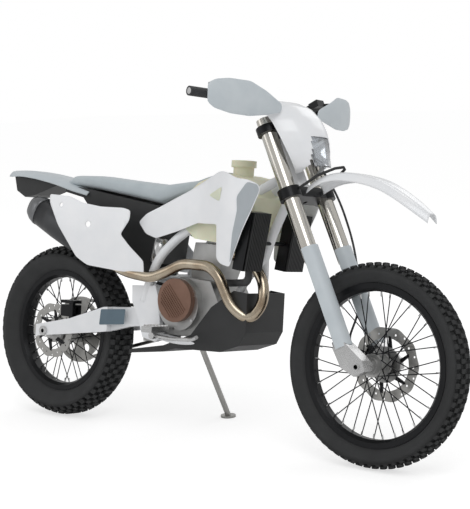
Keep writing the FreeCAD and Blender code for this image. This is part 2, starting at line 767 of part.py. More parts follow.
def rear_axle():
    """The hollow rear axle, its heads and the spacers between hub and arms."""
    arm, radius = size("swingarm_half_width"), size("axle_radius")
    along = V(0, 1, 0)
    shaft = cylinder(radius, 2 * arm + 16, (0, -arm - 8, 0), along)
    shaft = shaft.fuse(cylinder(19, 8, (0, arm, 0), along)).fuse(cylinder(19, 8, (0, -arm - 8, 0), along))
    shaft = shaft.fuse(cylinder(18, 101 - 90.3, (0, 90.3, 0), along))
    shaft = shaft.fuse(cylinder(18, 101 - 84.3, (0, -101, 0), along))
    return shaft.cut(cylinder(size("axle_bore_radius"), 320, (0, -160, 0), along)).removeSplitter()


shaped("rear_axle", rear_axle(), REAR_PLACE)


def engine():
    """The crankcase, cylinder and head: plain blocks at their real places, hollow nowhere."""
    case = prism([(-150, 470), (-120, 560), (-60, 600), (80, 592), (120, 520), (120, 440), (60, 384),
                  (-110, 384), (-150, 420)], -100, 100)
    barrel = prism([(-40, 590), (70, 580), (98, 650), (104, 722), (-30, 730), (-46, 650)], -62, 62)
    drum = cylinder(96, 28, (-45, -128, 500), V(0, 1, 0))
    chain_room = Part.makeBox(130, 60, 120, V(-175, 66, 372))
    sprocket_nose = cylinder(26.9, 24, (-114, 64, 430), V(0, 1, 0))
    return case.fuse(barrel).fuse(drum).cut(chain_room).fuse(sprocket_nose).removeSplitter()


engine_shape = clear_of(engine(), frame_shape, swingarm_shape)
shaped("engine", engine_shape)
doc.recompute()
cover = rod("clutch_cover_disc", "sizes.clutch_cover_radius", 22.0, V(-45, -150, 515), V(0, 1, 0))
keep(cover, "clutch_cover")
ignition = rod("ignition_disc", 66.0, 26.0, V(10, 100, 478), V(0, 1, 0))
keep(ignition, "ignition_cover")


doc.recompute()


def skid_plate():
    """The plate under the engine: an open tray with a raised nose and a tail under the linkage."""
    outer = [(-290, 298), (-120, 318), (-60, 336), (150, 342), (236, 372), (262, 420), (262, 560), (200, 566),
             (100, 500), (10, 392), (-120, 342), (-290, 312)]
    tray = prism(outer, -112, 112)
    inner = [(-300, 301), (-120, 323), (-60, 340), (148, 347), (230, 376), (256, 424), (256, 580), (100, 700),
             (-300, 500)]
    return tray.cut(prism(inner, -106, 106))


skid_shape = clear_of(skid_plate(), frame_shape, engine_shape, ignition.Shape, cover.Shape)
shaped("skid_plate", skid_shape)

HEADER = [(100, -28, 690), (200, -30, 690), (286, -50, 600), (300, -66, 527), (262, -92, 462), (196, -120, 508),
          (144, -132, 616), (98, -134, 648), (-24, -138, 651), (-96, -138, 616), (-160, -152, 590),
          (-300, -150, 604), (-470, -140, 668), (-520, -140, 694)]
header_shape = clear_of(tube(HEADER, size("header_radius")), frame_shape, engine_shape, skid_shape)
shaped("exhaust_header", header_shape)

SILENCER_FRONT, SILENCER_REAR = V(-520, -142, 694), V(-812, -142, 838)
can = Part.makeCylinder(54, (SILENCER_REAR - SILENCER_FRONT).Length, SILENCER_FRONT,
                        SILENCER_REAR - SILENCER_FRONT)
outlet = Part.makeCylinder(20, 60, SILENCER_REAR - (SILENCER_REAR - SILENCER_FRONT).normalize() * 55,
                           SILENCER_REAR - SILENCER_FRONT)
silencer_shape = clear_of(can.cut(outlet), header_shape)
shaped("silencer", silencer_shape)


def radiator():
    """The left radiator core, leaned like the fork."""
    return prism([(238, 646), (284, 640), (318, 846), (272, 852)], 72, 176)


bracket = cylinder(7, 66, (274, 8, 740), V(0, 1, 0))
radiators = both_sides(clear_of(radiator().fuse(bracket), frame_shape).removeSplitter())
shaped("radiators", radiators)
hose = tube([(262, -110, 643), (262, -110, 600), (150, -70, 590), (90, -66, 590)], size("coolant_hose_radius"))
shaped("coolant_hose", clear_of(hose, frame_shape, engine_shape, header_shape, radiators))


def tank():
    """The fuel tank: a saddle over the spars with its filler neck and cap."""
    body = prism([(-60, 800), (10, 744), (160, 730), (250, 800), (262, 900), (210, 968), (120, 985),
                  (20, 950), (-60, 880)], -118, 118)
    neck = cylinder(38, 40, (130, 0, 975))
    cap = cylinder(46, 24, (130, 0, 1012))
    return body.fuse(neck).fuse(cap).removeSplitter()


tank_shape = clear_of(tank(), frame_shape, engine_shape, radiators)
shaped("fuel_tank", max(tank_shape.Solids, key=lambda s: s.Volume))


def seat():
    """The long bench seat, a crowned closed block from the tank to the tail."""
    outline = [(-700, 930), (-640, 972), (-540, 968), (-400, 954), (-200, 940), (-40, 962), (66, 992), (66, 976),
               (-60, 912), (-200, 862), (-400, 892), (-600, 922)]
    return prism(outline, -88, 88)


seat_shape = clear_of(seat(), tank_shape, frame_shape)
shaped("seat", seat_shape)


def subframe():
    """The black tail frame under the seat, with the airbox between its rails."""
    rails = prism([(-178, 800), (-200, 858), (-400, 888), (-600, 918), (-700, 926), (-700, 900), (-600, 880),
                   (-420, 690), (-240, 600), (-200, 640)], -84, 84)
    tyre_room = cylinder(420, 240, (REAR_AXLE.x, -120, REAR_AXLE.z), V(0, 1, 0))
    return clear_of(rails.cut(tyre_room), seat_shape, frame_shape, tank_shape)


subframe_shape = subframe()
shaped("subframe", max(subframe_shape.Solids, key=lambda s: s.Volume))


def cowl(outline, plan, low, high):
    """A thin left-hand panel: a side outline trimmed out of a wall along a plan line."""
    wall = offset_wall(plan, SKIN, low, high)
    return wall.common(prism(outline, 20, 300))


SHROUD = [(-220, 826), (-155, 853), (1, 919), (152, 988), (262, 962), (345, 945), (352, 924), (327, 856),
          (290, 783), (232, 652), (160, 678), (160, 801), (47, 801), (-61, 766), (-169, 737), (-225, 755),
          (-255, 790)]
SHROUD_PLAN = [(-330, 122), (-150, 124), (60, 142), (200, 184), (300, 196), (360, 186)]
shroud_shape = cowl(SHROUD, SHROUD_PLAN, 600, 1020).fuse(cylinder(9, 60, (150, 112, 860), V(0, 1, 0)))
shroud_shape = clear_of(shroud_shape, frame_shape, seat_shape, tank_shape, radiators).removeSplitter()
shaped("left_shroud", shroud_shape)
shaped("right_shroud", mirrored(shroud_shape))

SIDE_PANEL = [(-676, 900), (-560, 884), (-485, 862), (-399, 848), (-262, 836), (-262, 800), (-300, 745),
              (-256, 703), (-190, 650), (-200, 602), (-300, 606), (-460, 622), (-510, 652), (-605, 770), (-668, 852)]
PANEL_PLAN = [(-700, 204), (-500, 202), (-330, 176), (-180, 164)]
panel_shape = cowl(SIDE_PANEL, PANEL_PLAN, 580, 920).fuse(cylinder(9, 114, (-420, 78, 812), V(0, 1, 0)))
panel_shape = clear_of(panel_shape, frame_shape, shroud_shape, subframe_shape, mirrored(header_shape))
panel_shape = clear_of(panel_shape, mirrored(silencer_shape)).removeSplitter()
panel_shape = max(panel_shape.Solids, key=lambda s: s.Volume)
shaped("left_side_panel", panel_shape)
shaped("right_side_panel", mirrored(panel_shape))

TAIL_LINE = [(-1066, 980), (-960, 982), (-860, 972), (-740, 952), (-640, 924), (-560, 908)]
tail_shape = clear_of(arched(TAIL_LINE, 104, SKIN, 30), seat_shape, subframe_shape, silencer_shape)
shaped("rear_fender", tail_shape)
plate_shape = clear_of(prism([(-1030, 972), (-1010, 900), (-960, 874), (-900, 884), (-760, 930), (-760, 948),
                              (-900, 974)], -60, 60), tail_shape, seat_shape)
shaped("tail_light_bracket", max(plate_shape.Solids, key=lambda s: s.Volume))

shock = Part.makeCylinder(30, 190, V(-268, 0, 440), V(68, 0, 200))
shaped("shock_absorber", clear_of(shock, frame_shape, subframe_shape, swingarm_shape))
link_shape = prism([(-300, 402), (-160, 384), (-160, 356), (-290, 340)], -34, 34)
shaped("linkage", clear_of(link_shape, frame_shape, swingarm_shape, skid_shape, engine_shape))


def chain():
    """The chain's closed loop round the front sprocket and over the rear one."""
    half, height = size("chain_half_width") - 1, size("chain_height")
    line = size("chain_line") - 0.5
    rear, front = size("sprocket_radius") + 0.8, 27.0
    start, axle = V(-114, 0, 430), REAR_AXLE
    gap = axle - start
    lean = math.atan2(-gap.z, -gap.x)
    spread = math.asin((rear - front) / gap.Length)

    def loop(extra):
        ring = []
        for centre, radius, turn in ((start, front, 0), (axle, rear, 0)):
            disk = cylinder(radius + extra, 2 * half, (centre.x, line - half, centre.z), V(0, 1, 0))
            ring.append(disk)
        corners = []
        for centre, radius, sign in ((start, front, 1), (axle, rear, 1), (axle, rear, -1), (start, front, -1)):
            angle = lean + sign * (math.pi / 2 + spread)
            reach = radius + extra
            corners.append((centre.x + reach * math.cos(angle), centre.z + reach * math.sin(angle)))
        return ring[0].fuse(ring[1]).fuse(prism(corners, line - half, line + half))

    return loop(height).cut(loop(0.0))


chain_shape = clear_of(chain(), swingarm_shape, frame_shape)
shaped("chain", max(chain_shape.Solids, key=lambda s: s.Volume))


def footpeg():
    """The left footpeg on its bracket."""
    peg = Part.makeBox(50, 96, 22, V(-112, HALF + 28, 396))
    bracket = Part.makeBox(44, 30, 26, V(-160, HALF + 3, 392))
    return peg.fuse(bracket).fuse(Part.makeBox(60, 16, 22, V(-150, HALF + 17, 394))).removeSplitter()


shaped("footpegs", both_sides(footpeg()))
pedal = tube([(-150, -HALF - 8, 376), (-60, -150, 372), (60, -162, 380), (92, -176, 392)], 7.0)
pedal = pedal.fuse(cylinder(13, 24, (-150, -HALF - 3, 376), V(0, -1, 0)))
pedal_shape = clear_of(pedal, skid_shape, frame_shape)
shaped("rear_brake_pedal", pedal_shape.removeSplitter())
shift = tube([(-28, 96, 402), (-28, 144, 402), (60, 148, 416), (84, 184, 424)], 6.0)
shaped("gear_lever", clear_of(shift, ignition.Shape, engine_shape))
rear_caliper = caliper((-62, 62), REAR_DISC_AT, -40)
rear_caliper.Placement = REAR_PLACE
rear_caliper = Part.makeBox(70, 44, 46, V(REAR_AXLE.x + 60, -96, REAR_AXLE.z + 64))
slot = Part.makeBox(90, 15, 60, V(REAR_AXLE.x + 50, -81.5, REAR_AXLE.z + 40))
bridge = Part.makeBox(70, 44, 12, V(REAR_AXLE.x + 60, -96, REAR_AXLE.z + 116))
rear_caliper = rear_caliper.cut(slot).fuse(bridge).fuse(
    Part.makeBox(20, 14, 80, V(REAR_AXLE.x + 112, -102, REAR_AXLE.z + 40)))
shaped("rear_brake_caliper", clear_of(rear_caliper, swingarm_shape).removeSplitter())


# ---------------------------------------------------------------- side stand
STAND_PIVOT = V(-182, HALF + 28, 372)
STAND_AXIS = V(-0.1, 0.93, 0.2115).normalize()
EYE_HALF = 16.0
PIN_RADIUS = 6.0


def floor_point(x, y, height=0.0):
    """A point given on the floor under the leaned machine, on the upright machine."""
    return LEAN.inverse().multVec(V(x, y, height))


def side_stand():
    """The stand's leg from its pivot eye to the foot that lies flat on the floor."""
    foot_top = floor_point(-118, 300, size("stand_foot_height") - 1)
    down = foot_top - STAND_PIVOT
    leg = Part.makeCylinder(size("stand_leg_radius"), down.Length, STAND_PIVOT, down)
    eye = Part.makeCylinder(17, 2 * EYE_HALF, STAND_PIVOT - STAND_AXIS * EYE_HALF, STAND_AXIS)
    up = LEAN.inverse().Rotation.multVec(V(0, 0, 1))
    foot = Part.makeCylinder(size("stand_foot_radius"), size("stand_foot_height"), floor_point(-118, 300), up)
    hole_radius = PIN_RADIUS + size("running_clearance")
    hole = Part.makeCylinder(hole_radius, 60, STAND_PIVOT - STAND_AXIS * 30, STAND_AXIS)
    return leg.fuse(eye).cut(hole).fuse(foot).removeSplitter()


shaped("side_stand", side_stand())
pin = Part.makeCylinder(PIN_RADIUS, 2 * EYE_HALF + 14, STAND_PIVOT - STAND_AXIS * (EYE_HALF + 14), STAND_AXIS)
head = Part.makeCylinder(10, 4, STAND_PIVOT + STAND_AXIS * (EYE_HALF + 0.3), STAND_AXIS)
pin = pin.fuse(Part.makeCylinder(PIN_RADIUS, 1, STAND_PIVOT + STAND_AXIS * (EYE_HALF - 0.5), STAND_AXIS))
shaped("stand_pin", clear_of(pin.fuse(head), frame_shape).removeSplitter())


# ---------------------------------------------------------------- finish
doc.recompute()
guards_box = moved(guards_piece.Shape, LEAN).BoundBox
middle_x = 0.5 * (size("front_tyre_radius") - size("rear_tyre_radius"))
CENTRE = Placement(V(-middle_x, -0.5 * (guards_box.YMin + guards_box.YMax), 0), Rotation())
for piece, place in PIECES:
    piece.Placement = CENTRE.multiply(LEAN).multiply(place).multiply(piece.Placement)
doc.recompute()
for item in doc.Objects:
    if "Invalid" in item.State or "Error" in item.State:
        raise RuntimeError("%s did not recompute: %s" % (item.Name, item.State))
os.makedirs("parts", exist_ok=True)
for piece, place in PIECES:
    if piece.Shape.isNull() or not piece.Shape.isValid():
        raise RuntimeError("%s has no valid shape" % piece.Label)
    piece.Shape.exportStep("parts/%s.step" % piece.Label)
    box = piece.Shape.BoundBox
    print("%-22s %d  x %7.1f %7.1f  y %7.1f %7.1f  z %7.1f %7.1f" % (
        piece.Label, len(piece.Shape.Solids), box.XMin, box.XMax, box.YMin, box.YMax, box.ZMin, box.ZMax))
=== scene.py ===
"""Enduro motorcycle on its side stand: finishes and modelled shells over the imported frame.

Shapes are worked out in millimetres on the upright machine (x forward, y left, z up, floor at 0) and
carried to the leaned one by the two wheel joints.
"""
import json
import math

import bpy
import numpy as np
from mathutils import Matrix, Vector
from mathutils.geometry import delaunay_2d_cdt


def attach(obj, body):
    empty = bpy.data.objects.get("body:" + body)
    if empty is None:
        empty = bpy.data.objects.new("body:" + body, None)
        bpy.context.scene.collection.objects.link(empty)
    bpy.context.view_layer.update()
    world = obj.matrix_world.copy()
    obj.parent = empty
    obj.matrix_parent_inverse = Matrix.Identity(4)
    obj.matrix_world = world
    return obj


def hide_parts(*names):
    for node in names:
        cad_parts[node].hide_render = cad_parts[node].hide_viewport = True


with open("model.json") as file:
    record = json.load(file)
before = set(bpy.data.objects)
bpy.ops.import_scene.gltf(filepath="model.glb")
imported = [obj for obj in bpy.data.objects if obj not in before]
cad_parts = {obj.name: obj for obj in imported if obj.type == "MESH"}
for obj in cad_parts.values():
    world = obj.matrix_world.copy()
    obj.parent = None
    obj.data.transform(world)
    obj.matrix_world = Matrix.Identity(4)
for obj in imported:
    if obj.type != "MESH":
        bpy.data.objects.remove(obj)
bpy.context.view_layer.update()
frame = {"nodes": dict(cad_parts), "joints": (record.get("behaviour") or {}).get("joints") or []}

# ---------------------------------------------------------------- the upright machine's frame
JOINTS = {joint["name"]: joint for joint in frame["joints"]}
FRONT_HUB = np.array(JOINTS["front_wheel_spin"]["pos_m"])
REAR_HUB = np.array(JOINTS["rear_wheel_spin"]["pos_m"])
HEAD_AXIS = np.array(JOINTS["steering_head"]["axis"], dtype=float)
AHEAD = np.array([1.0, 0.0, 0.0])
LEFT = np.array(JOINTS["rear_wheel_spin"]["axis"], dtype=float)
UP = np.cross(AHEAD, LEFT)
LEAN = math.atan2(-LEFT[2], LEFT[1])
FRONT_R, REAR_R = 350.0, 342.0
FRONT_W, REAR_W = 45.0, 66.0


def axle_height(radius, half_width):
    """Upright height of an axle whose leaned tyre touches the floor with its round tread."""
    crown = 1.25 * half_width
    return radius - crown + crown / math.cos(LEAN)


FRONT_Z, REAR_Z = axle_height(FRONT_R, FRONT_W), axle_height(REAR_R, REAR_W)
FRONT_X = 500.0 * (FRONT_HUB[0] - REAR_HUB[0])
REAR_X = -FRONT_X
ORIGIN = FRONT_HUB - AHEAD * FRONT_X / 1000.0 - UP * FRONT_Z / 1000.0
BASIS = np.stack([AHEAD, LEFT, UP])


def to_row(points):
    """Row-frame metres of upright millimetres: origin + x ahead + y left + z up."""
    return ORIGIN + np.asarray(points, dtype=float) @ BASIS / 1000.0


RAKE = math.acos(min(1.0, float(HEAD_AXIS @ UP)))
STEER_FOOT = np.array([FRONT_X, 0.0, FRONT_Z]) - 55.0 * np.array([math.cos(RAKE), 0.0, math.sin(RAKE)])


def from_steering(points):
    """Upright millimetres of points in the steering frame: x ahead of the steering axis, z along it."""
    p = np.asarray(points, dtype=float)
    x = STEER_FOOT[0] + p[..., 0] * math.cos(RAKE) - p[..., 2] * math.sin(RAKE)
    z = STEER_FOOT[2] + p[..., 0] * math.sin(RAKE) + p[..., 2] * math.cos(RAKE)
    return np.stack([x, p[..., 1], z], axis=-1)


# ---------------------------------------------------------------- finishes
def colour(code):
    """Linear RGBA of an sRGB hex code."""
    parts = [int(code[i:i + 2], 16) / 255.0 for i in (0, 2, 4)]
    return tuple(p / 12.92 if p <= 0.04045 else ((p + 0.055) / 1.055) ** 2.4 for p in parts) + (1.0,)


def add(tree, kind, links=(), **settings):
    """A node of that kind with its socket settings, and links given as (from socket, to input name)."""
    node = tree.nodes.new(kind)
    for key, value in settings.items():
        if key in node.inputs:
            node.inputs[key].default_value = value
        elif key.replace("_", " ") in node.inputs:
            node.inputs[key.replace("_", " ")].default_value = value
        else:
            setattr(node, key, value)
    for source, target in links:
        tree.links.new(source, node.inputs[target])
    return node


def finish(name, base, shade, roughness, grain_mm, bump=0.15, spread=0.06, **shader):
    """A finish: two close tones mixed by noise, roughness that varies, and a bump at a real grain size."""
    material = bpy.data.materials.new(name)
    material.use_nodes = True
    tree = material.node_tree
    tree.nodes.clear()
    place = add(tree, "ShaderNodeTexCoord").outputs["Object"]
    cloud = add(tree, "ShaderNodeTexNoise", [(place, "Vector")], Scale=14.0, Detail=5.0)
    grain = add(tree, "ShaderNodeTexNoise", [(place, "Vector")], Scale=1000.0 / grain_mm, Detail=3.0)
    tones = add(tree, "ShaderNodeValToRGB", [(cloud.outputs["Fac"], "Fac")])
    tones.color_ramp.elements[0].position, tones.color_ramp.elements[1].position = 0.3, 0.75
    tones.color_ramp.elements[0].color, tones.color_ramp.elements[1].color = colour(shade), colour(base)
    rough = add(tree, "ShaderNodeMapRange", [(grain.outputs["Fac"], "Value")],
                To_Min=max(0.02, roughness - spread), To_Max=min(1.0, roughness + spread))
    relief = add(tree, "ShaderNodeBump", [(grain.outputs["Fac"], "Height")], Strength=bump,
                 Distance=0.0004)
    surface = add(tree, "ShaderNodeBsdfPrincipled", [
        (tones.outputs["Color"], "Base Color"), (rough.outputs["Result"], "Roughness"),
        (relief.outputs["Normal"], "Normal")], **shader)
    add(tree, "ShaderNodeOutputMaterial", [(surface.outputs["BSDF"], "Surface")])
    return material


# Injection-moulded polypropylene: glossy white with a very slight orange peel.
WHITE = finish("moulded_white_polypropylene", "F1F2F4", "EBEDF0", 0.24, 2.2, 0.05, IOR=1.49,
               Coat_Weight=0.25)
# The same plastic moulded in pale blue-grey, softer in gloss.
PALE_GREY = finish("moulded_pale_grey_polypropylene", "C9D0D4", "BFC7CC", 0.36, 1.6, 0.08, IOR=1.49)
# Moulded mid-grey infill on the shroud front.
MID_GREY = finish("moulded_mid_grey_polypropylene", "AEB4B9", "A4ABB0", 0.34, 1.6, 0.08, IOR=1.49)
# Glass-filled nylon, moulded with a fine matt texture.
BLACK = finish("textured_black_nylon", "232425", "1B1C1D", 0.52, 0.9, 0.35, IOR=1.53)
# Powder coat on steel tube: white with fine peel.
POWDER = finish("white_powder_coat", "EDEEF0", "E4E6E9", 0.3, 1.4, 0.12, IOR=1.5, Coat_Weight=0.2)
# Ground and polished steel fork tube.
POLISHED = finish("polished_fork_steel", "D8D5CE", "CFCBC3", 0.16, 0.8, 0.04, Metallic=1.0)
# Sand-cast aluminium, bead blasted.
CAST = finish("bead_blasted_cast_aluminium", "B9B9B8", "A3A3A2", 0.42, 0.7, 0.4, Metallic=1.0)
# Machined and clear anodised aluminium.
MACHINED = finish("machined_aluminium", "CFCFCF", "C2C2C2", 0.27, 0.5, 0.1, Metallic=1.0)
# Black hard-anodised aluminium.
ANODISED = finish("black_anodised_aluminium", "1E1F21", "17181A", 0.34, 0.8, 0.12, Metallic=0.6)
# Stainless steel sheet, brushed.
STEEL = finish("brushed_stainless_steel", "B4B3B0", "A5A4A1", 0.3, 0.4, 0.15, Metallic=1.0)
# Black-coated steel wire of the spokes.
WIRE = finish("black_coated_wire", "26272A", "1F2022", 0.35, 0.8, 0.1, Metallic=0.8)
# Stainless header tinted straw and bronze by heat.
HEADER = finish("heat_tinted_stainless", "C9C0AE", "9A8873", 0.22, 0.5, 0.08, Metallic=1.0)
# Dark ceramic coat of the silencer can.
CAN = finish("dark_ceramic_coat", "4A4B4D", "3F4042", 0.38, 0.6, 0.15, Metallic=0.7)
# Titanium-grey end cap.
CAP = finish("grey_titanium", "7E7F81", "717274", 0.33, 0.6, 0.12, Metallic=0.9)
# Bronze anodised magnesium cover.
BRONZE = finish("bronze_coated_magnesium", "86695B", "765B4E", 0.4, 0.6, 0.25, Metallic=0.75)
# Tyre compound: dark, matt, faint bloom.
TYRE = finish("knobbly_tyre_compound", "2B2C2D", "212223", 0.72, 1.2, 0.5, IOR=1.52)
# Moulded rubber of grips and hoses.
RUBBER = finish("moulded_rubber", "3A3B3D", "303133", 0.6, 0.8, 0.4, IOR=1.52)
# Gripper cloth of the seat with fine ribs.
SEAT = finish("gripper_seat_cloth", "BFC8CC", "B4BEC3", 0.62, 1.0, 0.6, IOR=1.5, Sheen_Weight=0.2)
# Cross-linked polyethylene tank, slightly translucent cream.
TANK = finish("natural_polyethylene", "E9E8D0", "E1E0C4", 0.42, 1.6, 0.1, IOR=1.5, Subsurface_Weight=0.15)
# Slate-blue vinyl film.
SLATE = finish("slate_blue_film", "5C6F7B", "516471", 0.3, 1.4, 0.06, IOR=1.5)
# Red anodised adjusters.
RED = finish("red_anodised_aluminium", "C8202A", "B01B24", 0.28, 0.6, 0.1, Metallic=0.7)
# Polycarbonate lens.
LENS = finish("clear_polycarbonate", "F6F8FA", "F1F4F7", 0.06, 3.0, 0.02, IOR=1.58, Transmission_Weight=0.9)
# Vacuum-metallised reflector.
MIRROR = finish("metallised_reflector", "E4E6E8", "D9DBDE", 0.14, 2.0, 0.05, Metallic=1.0)

FINISHES = {
    WHITE: ["left_shroud", "right_shroud", "left_side_panel", "right_side_panel", "front_fender",
            "rear_fender", "headlight_mask"],
    PALE_GREY: ["fork_guards", "hand_guards"],
    BLACK: ["skid_plate", "subframe", "tail_light_bracket"],
    POWDER: ["frame", "swingarm"],
    POLISHED: ["fork_tubes"],
    CAST: ["engine", "front_hub", "rear_hub", "linkage"],
    MACHINED: ["fork_legs", "front_axle", "rear_axle", "handlebar", "footpegs", "rear_brake_pedal",
               "gear_lever", "ignition_cover"],
    ANODISED: ["triple_clamps", "front_rim", "rear_rim", "radiators", "front_brake_caliper",
               "rear_brake_caliper", "clutch_lever", "front_brake_lever", "shock_absorber"],
    STEEL: ["front_disc", "rear_disc", "sprocket", "chain", "side_stand", "stand_pin"],
    WIRE: ["front_spokes", "rear_spokes"],
    HEADER: ["exhaust_header"],
    CAN: ["silencer"],
    BRONZE: ["clutch_cover"],
    TYRE: ["front_tyre", "rear_tyre"],
    RUBBER: ["grips", "brake_hose", "coolant_hose"],
    SEAT: ["seat"],
    TANK: ["fuel_tank"],
    LENS: ["headlight"],
}
for material, nodes in FINISHES.items():
    for node in nodes:
        mesh = frame["nodes"][node].data
        mesh.materials.clear()
        mesh.materials.append(material)


# ---------------------------------------------------------------- making pieces
def piece(name, points, faces, material, body, smooth=True, replaces=(), slot=None):
    """A mesh piece from upright millimetre points, riding on a body."""
    mesh = bpy.data.meshes.new(name)
    mesh.from_pydata(to_row(points).tolist(), [], faces)
    mesh.materials.append(material)
    mesh.validate()
    mesh.update()
    if smooth:
        mesh.shade_smooth()
    else:
        mesh.shade_flat()
    obj = bpy.data.objects.new(name, mesh)
    bpy.context.scene.collection.objects.link(obj)
    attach(obj, body)
    if replaces:
        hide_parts(*replaces)
    return obj


def grid_faces(rows, columns, loop_rows=False, loop_columns=False):
    """Quads between neighbours of a rows x columns grid, closed either way where asked."""
    r = np.arange(rows if loop_rows else rows - 1)[:, None]
    c = np.arange(columns if loop_columns else columns - 1)[None, :]
    r2, c2 = (r + 1) % rows, (c + 1) % columns
    quads = np.stack([r * columns + c, r * columns + c2, r2 * columns + c2, r2 * columns + c], axis=-1)
    return quads.reshape(-1, 4).tolist()


BOX_FACES = np.array([(0, 1, 2, 3), (4, 7, 6, 5), (0, 4, 5, 1), (1, 5, 6, 2), (2, 6, 7, 3), (3, 7, 4, 0)])
HEX_TURN = np.arange(6) * math.pi / 3
HEX_FACES = [(k, (k + 1) % 6, 6 + (k + 1) % 6, 6 + k) for k in range(6)]
HEX_FACES += [tuple(range(5, -1, -1)), tuple(range(6, 12))]


def flipped(faces):
    """The faces turned over."""
    return [face[::-1] for face in faces]


def tube_faces(rows, columns):
    """Quads round a tube of rings, and a face over each end."""
    ends = [tuple(range(columns))[::-1], tuple(range((rows - 1) * columns, rows * columns))]
    return grid_faces(rows, columns, False, True) + ends


def repeated(faces, corners, count):
    """The faces of count like solids that have that many corners each."""
    return [tuple(v + corners * n for v in face) for n in range(count) for face in faces]


def blocks(name, points, material, slot):
    """Flat-sided blocks on the frame, each of eight points: four at its foot, then four at its top."""
    faces = repeated(BOX_FACES.tolist(), 8, len(points) // 8)
    return piece(name, points, faces, material, "frame", smooth=False, slot=slot)


def thicken(obj, thickness, bevel=0.0, offset=0.0):
    """A shell of that thickness in mm, with softened edges."""
    shell = obj.modifiers.new("wall", "SOLIDIFY")
    shell.thickness, shell.offset = thickness / 1000.0, offset
    if bevel:
        soft = obj.modifiers.new("edges", "BEVEL")
        soft.width, soft.segments, soft.limit_method = bevel / 1000.0, 2, "ANGLE"
    return obj


def rounded(outline, cut=10.0):
    """Each corner p becomes a, (a + 2p + b) / 4, b, with a and b up to cut mm back along its two runs."""
    p = np.asarray(outline, dtype=float)
    back, ahead = np.roll(p, 1, axis=0) - p, np.roll(p, -1, axis=0) - p
    back_run, ahead_run = np.linalg.norm(back, axis=1)[:, None], np.linalg.norm(ahead, axis=1)[:, None]
    a = p + back / back_run * np.minimum(cut, 0.4 * back_run)
    b = p + ahead / ahead_run * np.minimum(cut, 0.4 * ahead_run)
    return np.stack([a, 0.25 * a + 0.5 * p + 0.25 * b, b], axis=1).reshape(-1, 2)


def filled(outline, pitch, holes=()):
    """Triangles that fill an outline, with inner points every pitch; holes are (x, y, radius)."""
    p = np.asarray(outline, dtype=float)
    low, high = p.min(axis=0), p.max(axis=0)
    inner = np.stack(np.meshgrid(np.arange(low[0], high[0], pitch), np.arange(low[1], high[1], pitch)),
                     axis=-1).reshape(-1, 2)
    loops = [p]
    turn = np.linspace(0, 2 * math.pi, 24, endpoint=False)
    for x, y, radius in holes:
        loops.append(np.stack([x + radius * np.cos(turn), y + radius * np.sin(turn)], axis=-1))
        inner = inner[np.hypot(inner[:, 0] - x, inner[:, 1] - y) > radius + 0.3 * pitch]
    border = np.concatenate(loops)
    edges, start = [], 0
    for loop in loops:
        index = np.arange(len(loop))
        edges += (np.stack([index, np.roll(index, -1)], axis=-1) + start).tolist()
        start += len(loop)
    near = np.linalg.norm(inner[:, None, :] - border[None, :, :], axis=-1).min(axis=1)
    inner = inner[near > 0.35 * pitch]
    spots = [Vector(v) for v in np.concatenate([border, inner])]
    ring = [list(range(len(p)))]
    verts, _, faces, _, _, _ = delaunay_2d_cdt(spots, edges, ring, 1, 1e-5)
    verts = np.array([tuple(v) for v in verts])
    middle = np.array([verts[list(f)].mean(axis=0) for f in faces])
    stays = np.ones(len(faces), dtype=bool)
    for x, y, radius in holes:
        stays &= np.hypot(middle[:, 0] - x, middle[:, 1] - y) > radius
    return verts, [tuple(f) for f, keep in zip(faces, stays) if keep]


def revolved(name, profile, centre, segments, material, body, **extra):
    """A closed profile of (y, radius) points turned about the wheel axis through centre."""
    profile = np.asarray(profile, dtype=float)
    turn = np.linspace(0, 2 * math.pi, segments, endpoint=False)[:, None]
    x = centre[0] + profile[:, 1] * np.cos(turn)
    z = centre[1] + profile[:, 1] * np.sin(turn)
    y = np.broadcast_to(profile[:, 0], x.shape)
    points = np.stack([x, y, z], axis=-1).reshape(-1, 3)
    return piece(name, points, grid_faces(segments, len(profile), True, True), material, body, **extra)


# ---------------------------------------------------------------- tyres
def knobs(centre, radius, crown, rows, depth):
    """Tread blocks: each row is (count, phase, tilt from the crown, length, width) of tapered boxes that
    stand on the round tread, their tops on the tyre's outer surface."""
    points, faces = [], []
    corners = np.array([(-1, -1), (1, -1), (1, 1), (-1, 1)], dtype=float)
    for count, phase, tilt, length, width in rows:
        angle = (np.arange(count) + phase) * 2 * math.pi / count
        block = []
        for level, spread in ((-depth - 2.0, 1.18), (0.0, 0.92)):
            lean = tilt + corners[:, 1] * 0.5 * width * spread / crown
            out = radius - crown + (crown + level) * np.cos(lean)
            y = (crown + level) * np.sin(lean)
            around = angle[:, None] + corners[None, :, 0] * 0.5 * length * spread / radius
            block.append(np.stack([centre[0] + out * np.cos(around), np.broadcast_to(y, around.shape),
                                   centre[1] + out * np.sin(around)], axis=-1))
        both = np.concatenate(block, axis=1)
        start = 8 * sum(len(b) for b in points)
        points.append(both)
        faces.append((BOX_FACES[None] + 8 * np.arange(count)[:, None, None] + start).reshape(-1, 4))
    return np.concatenate([b.reshape(-1, 3) for b in points]), np.concatenate(faces).tolist()


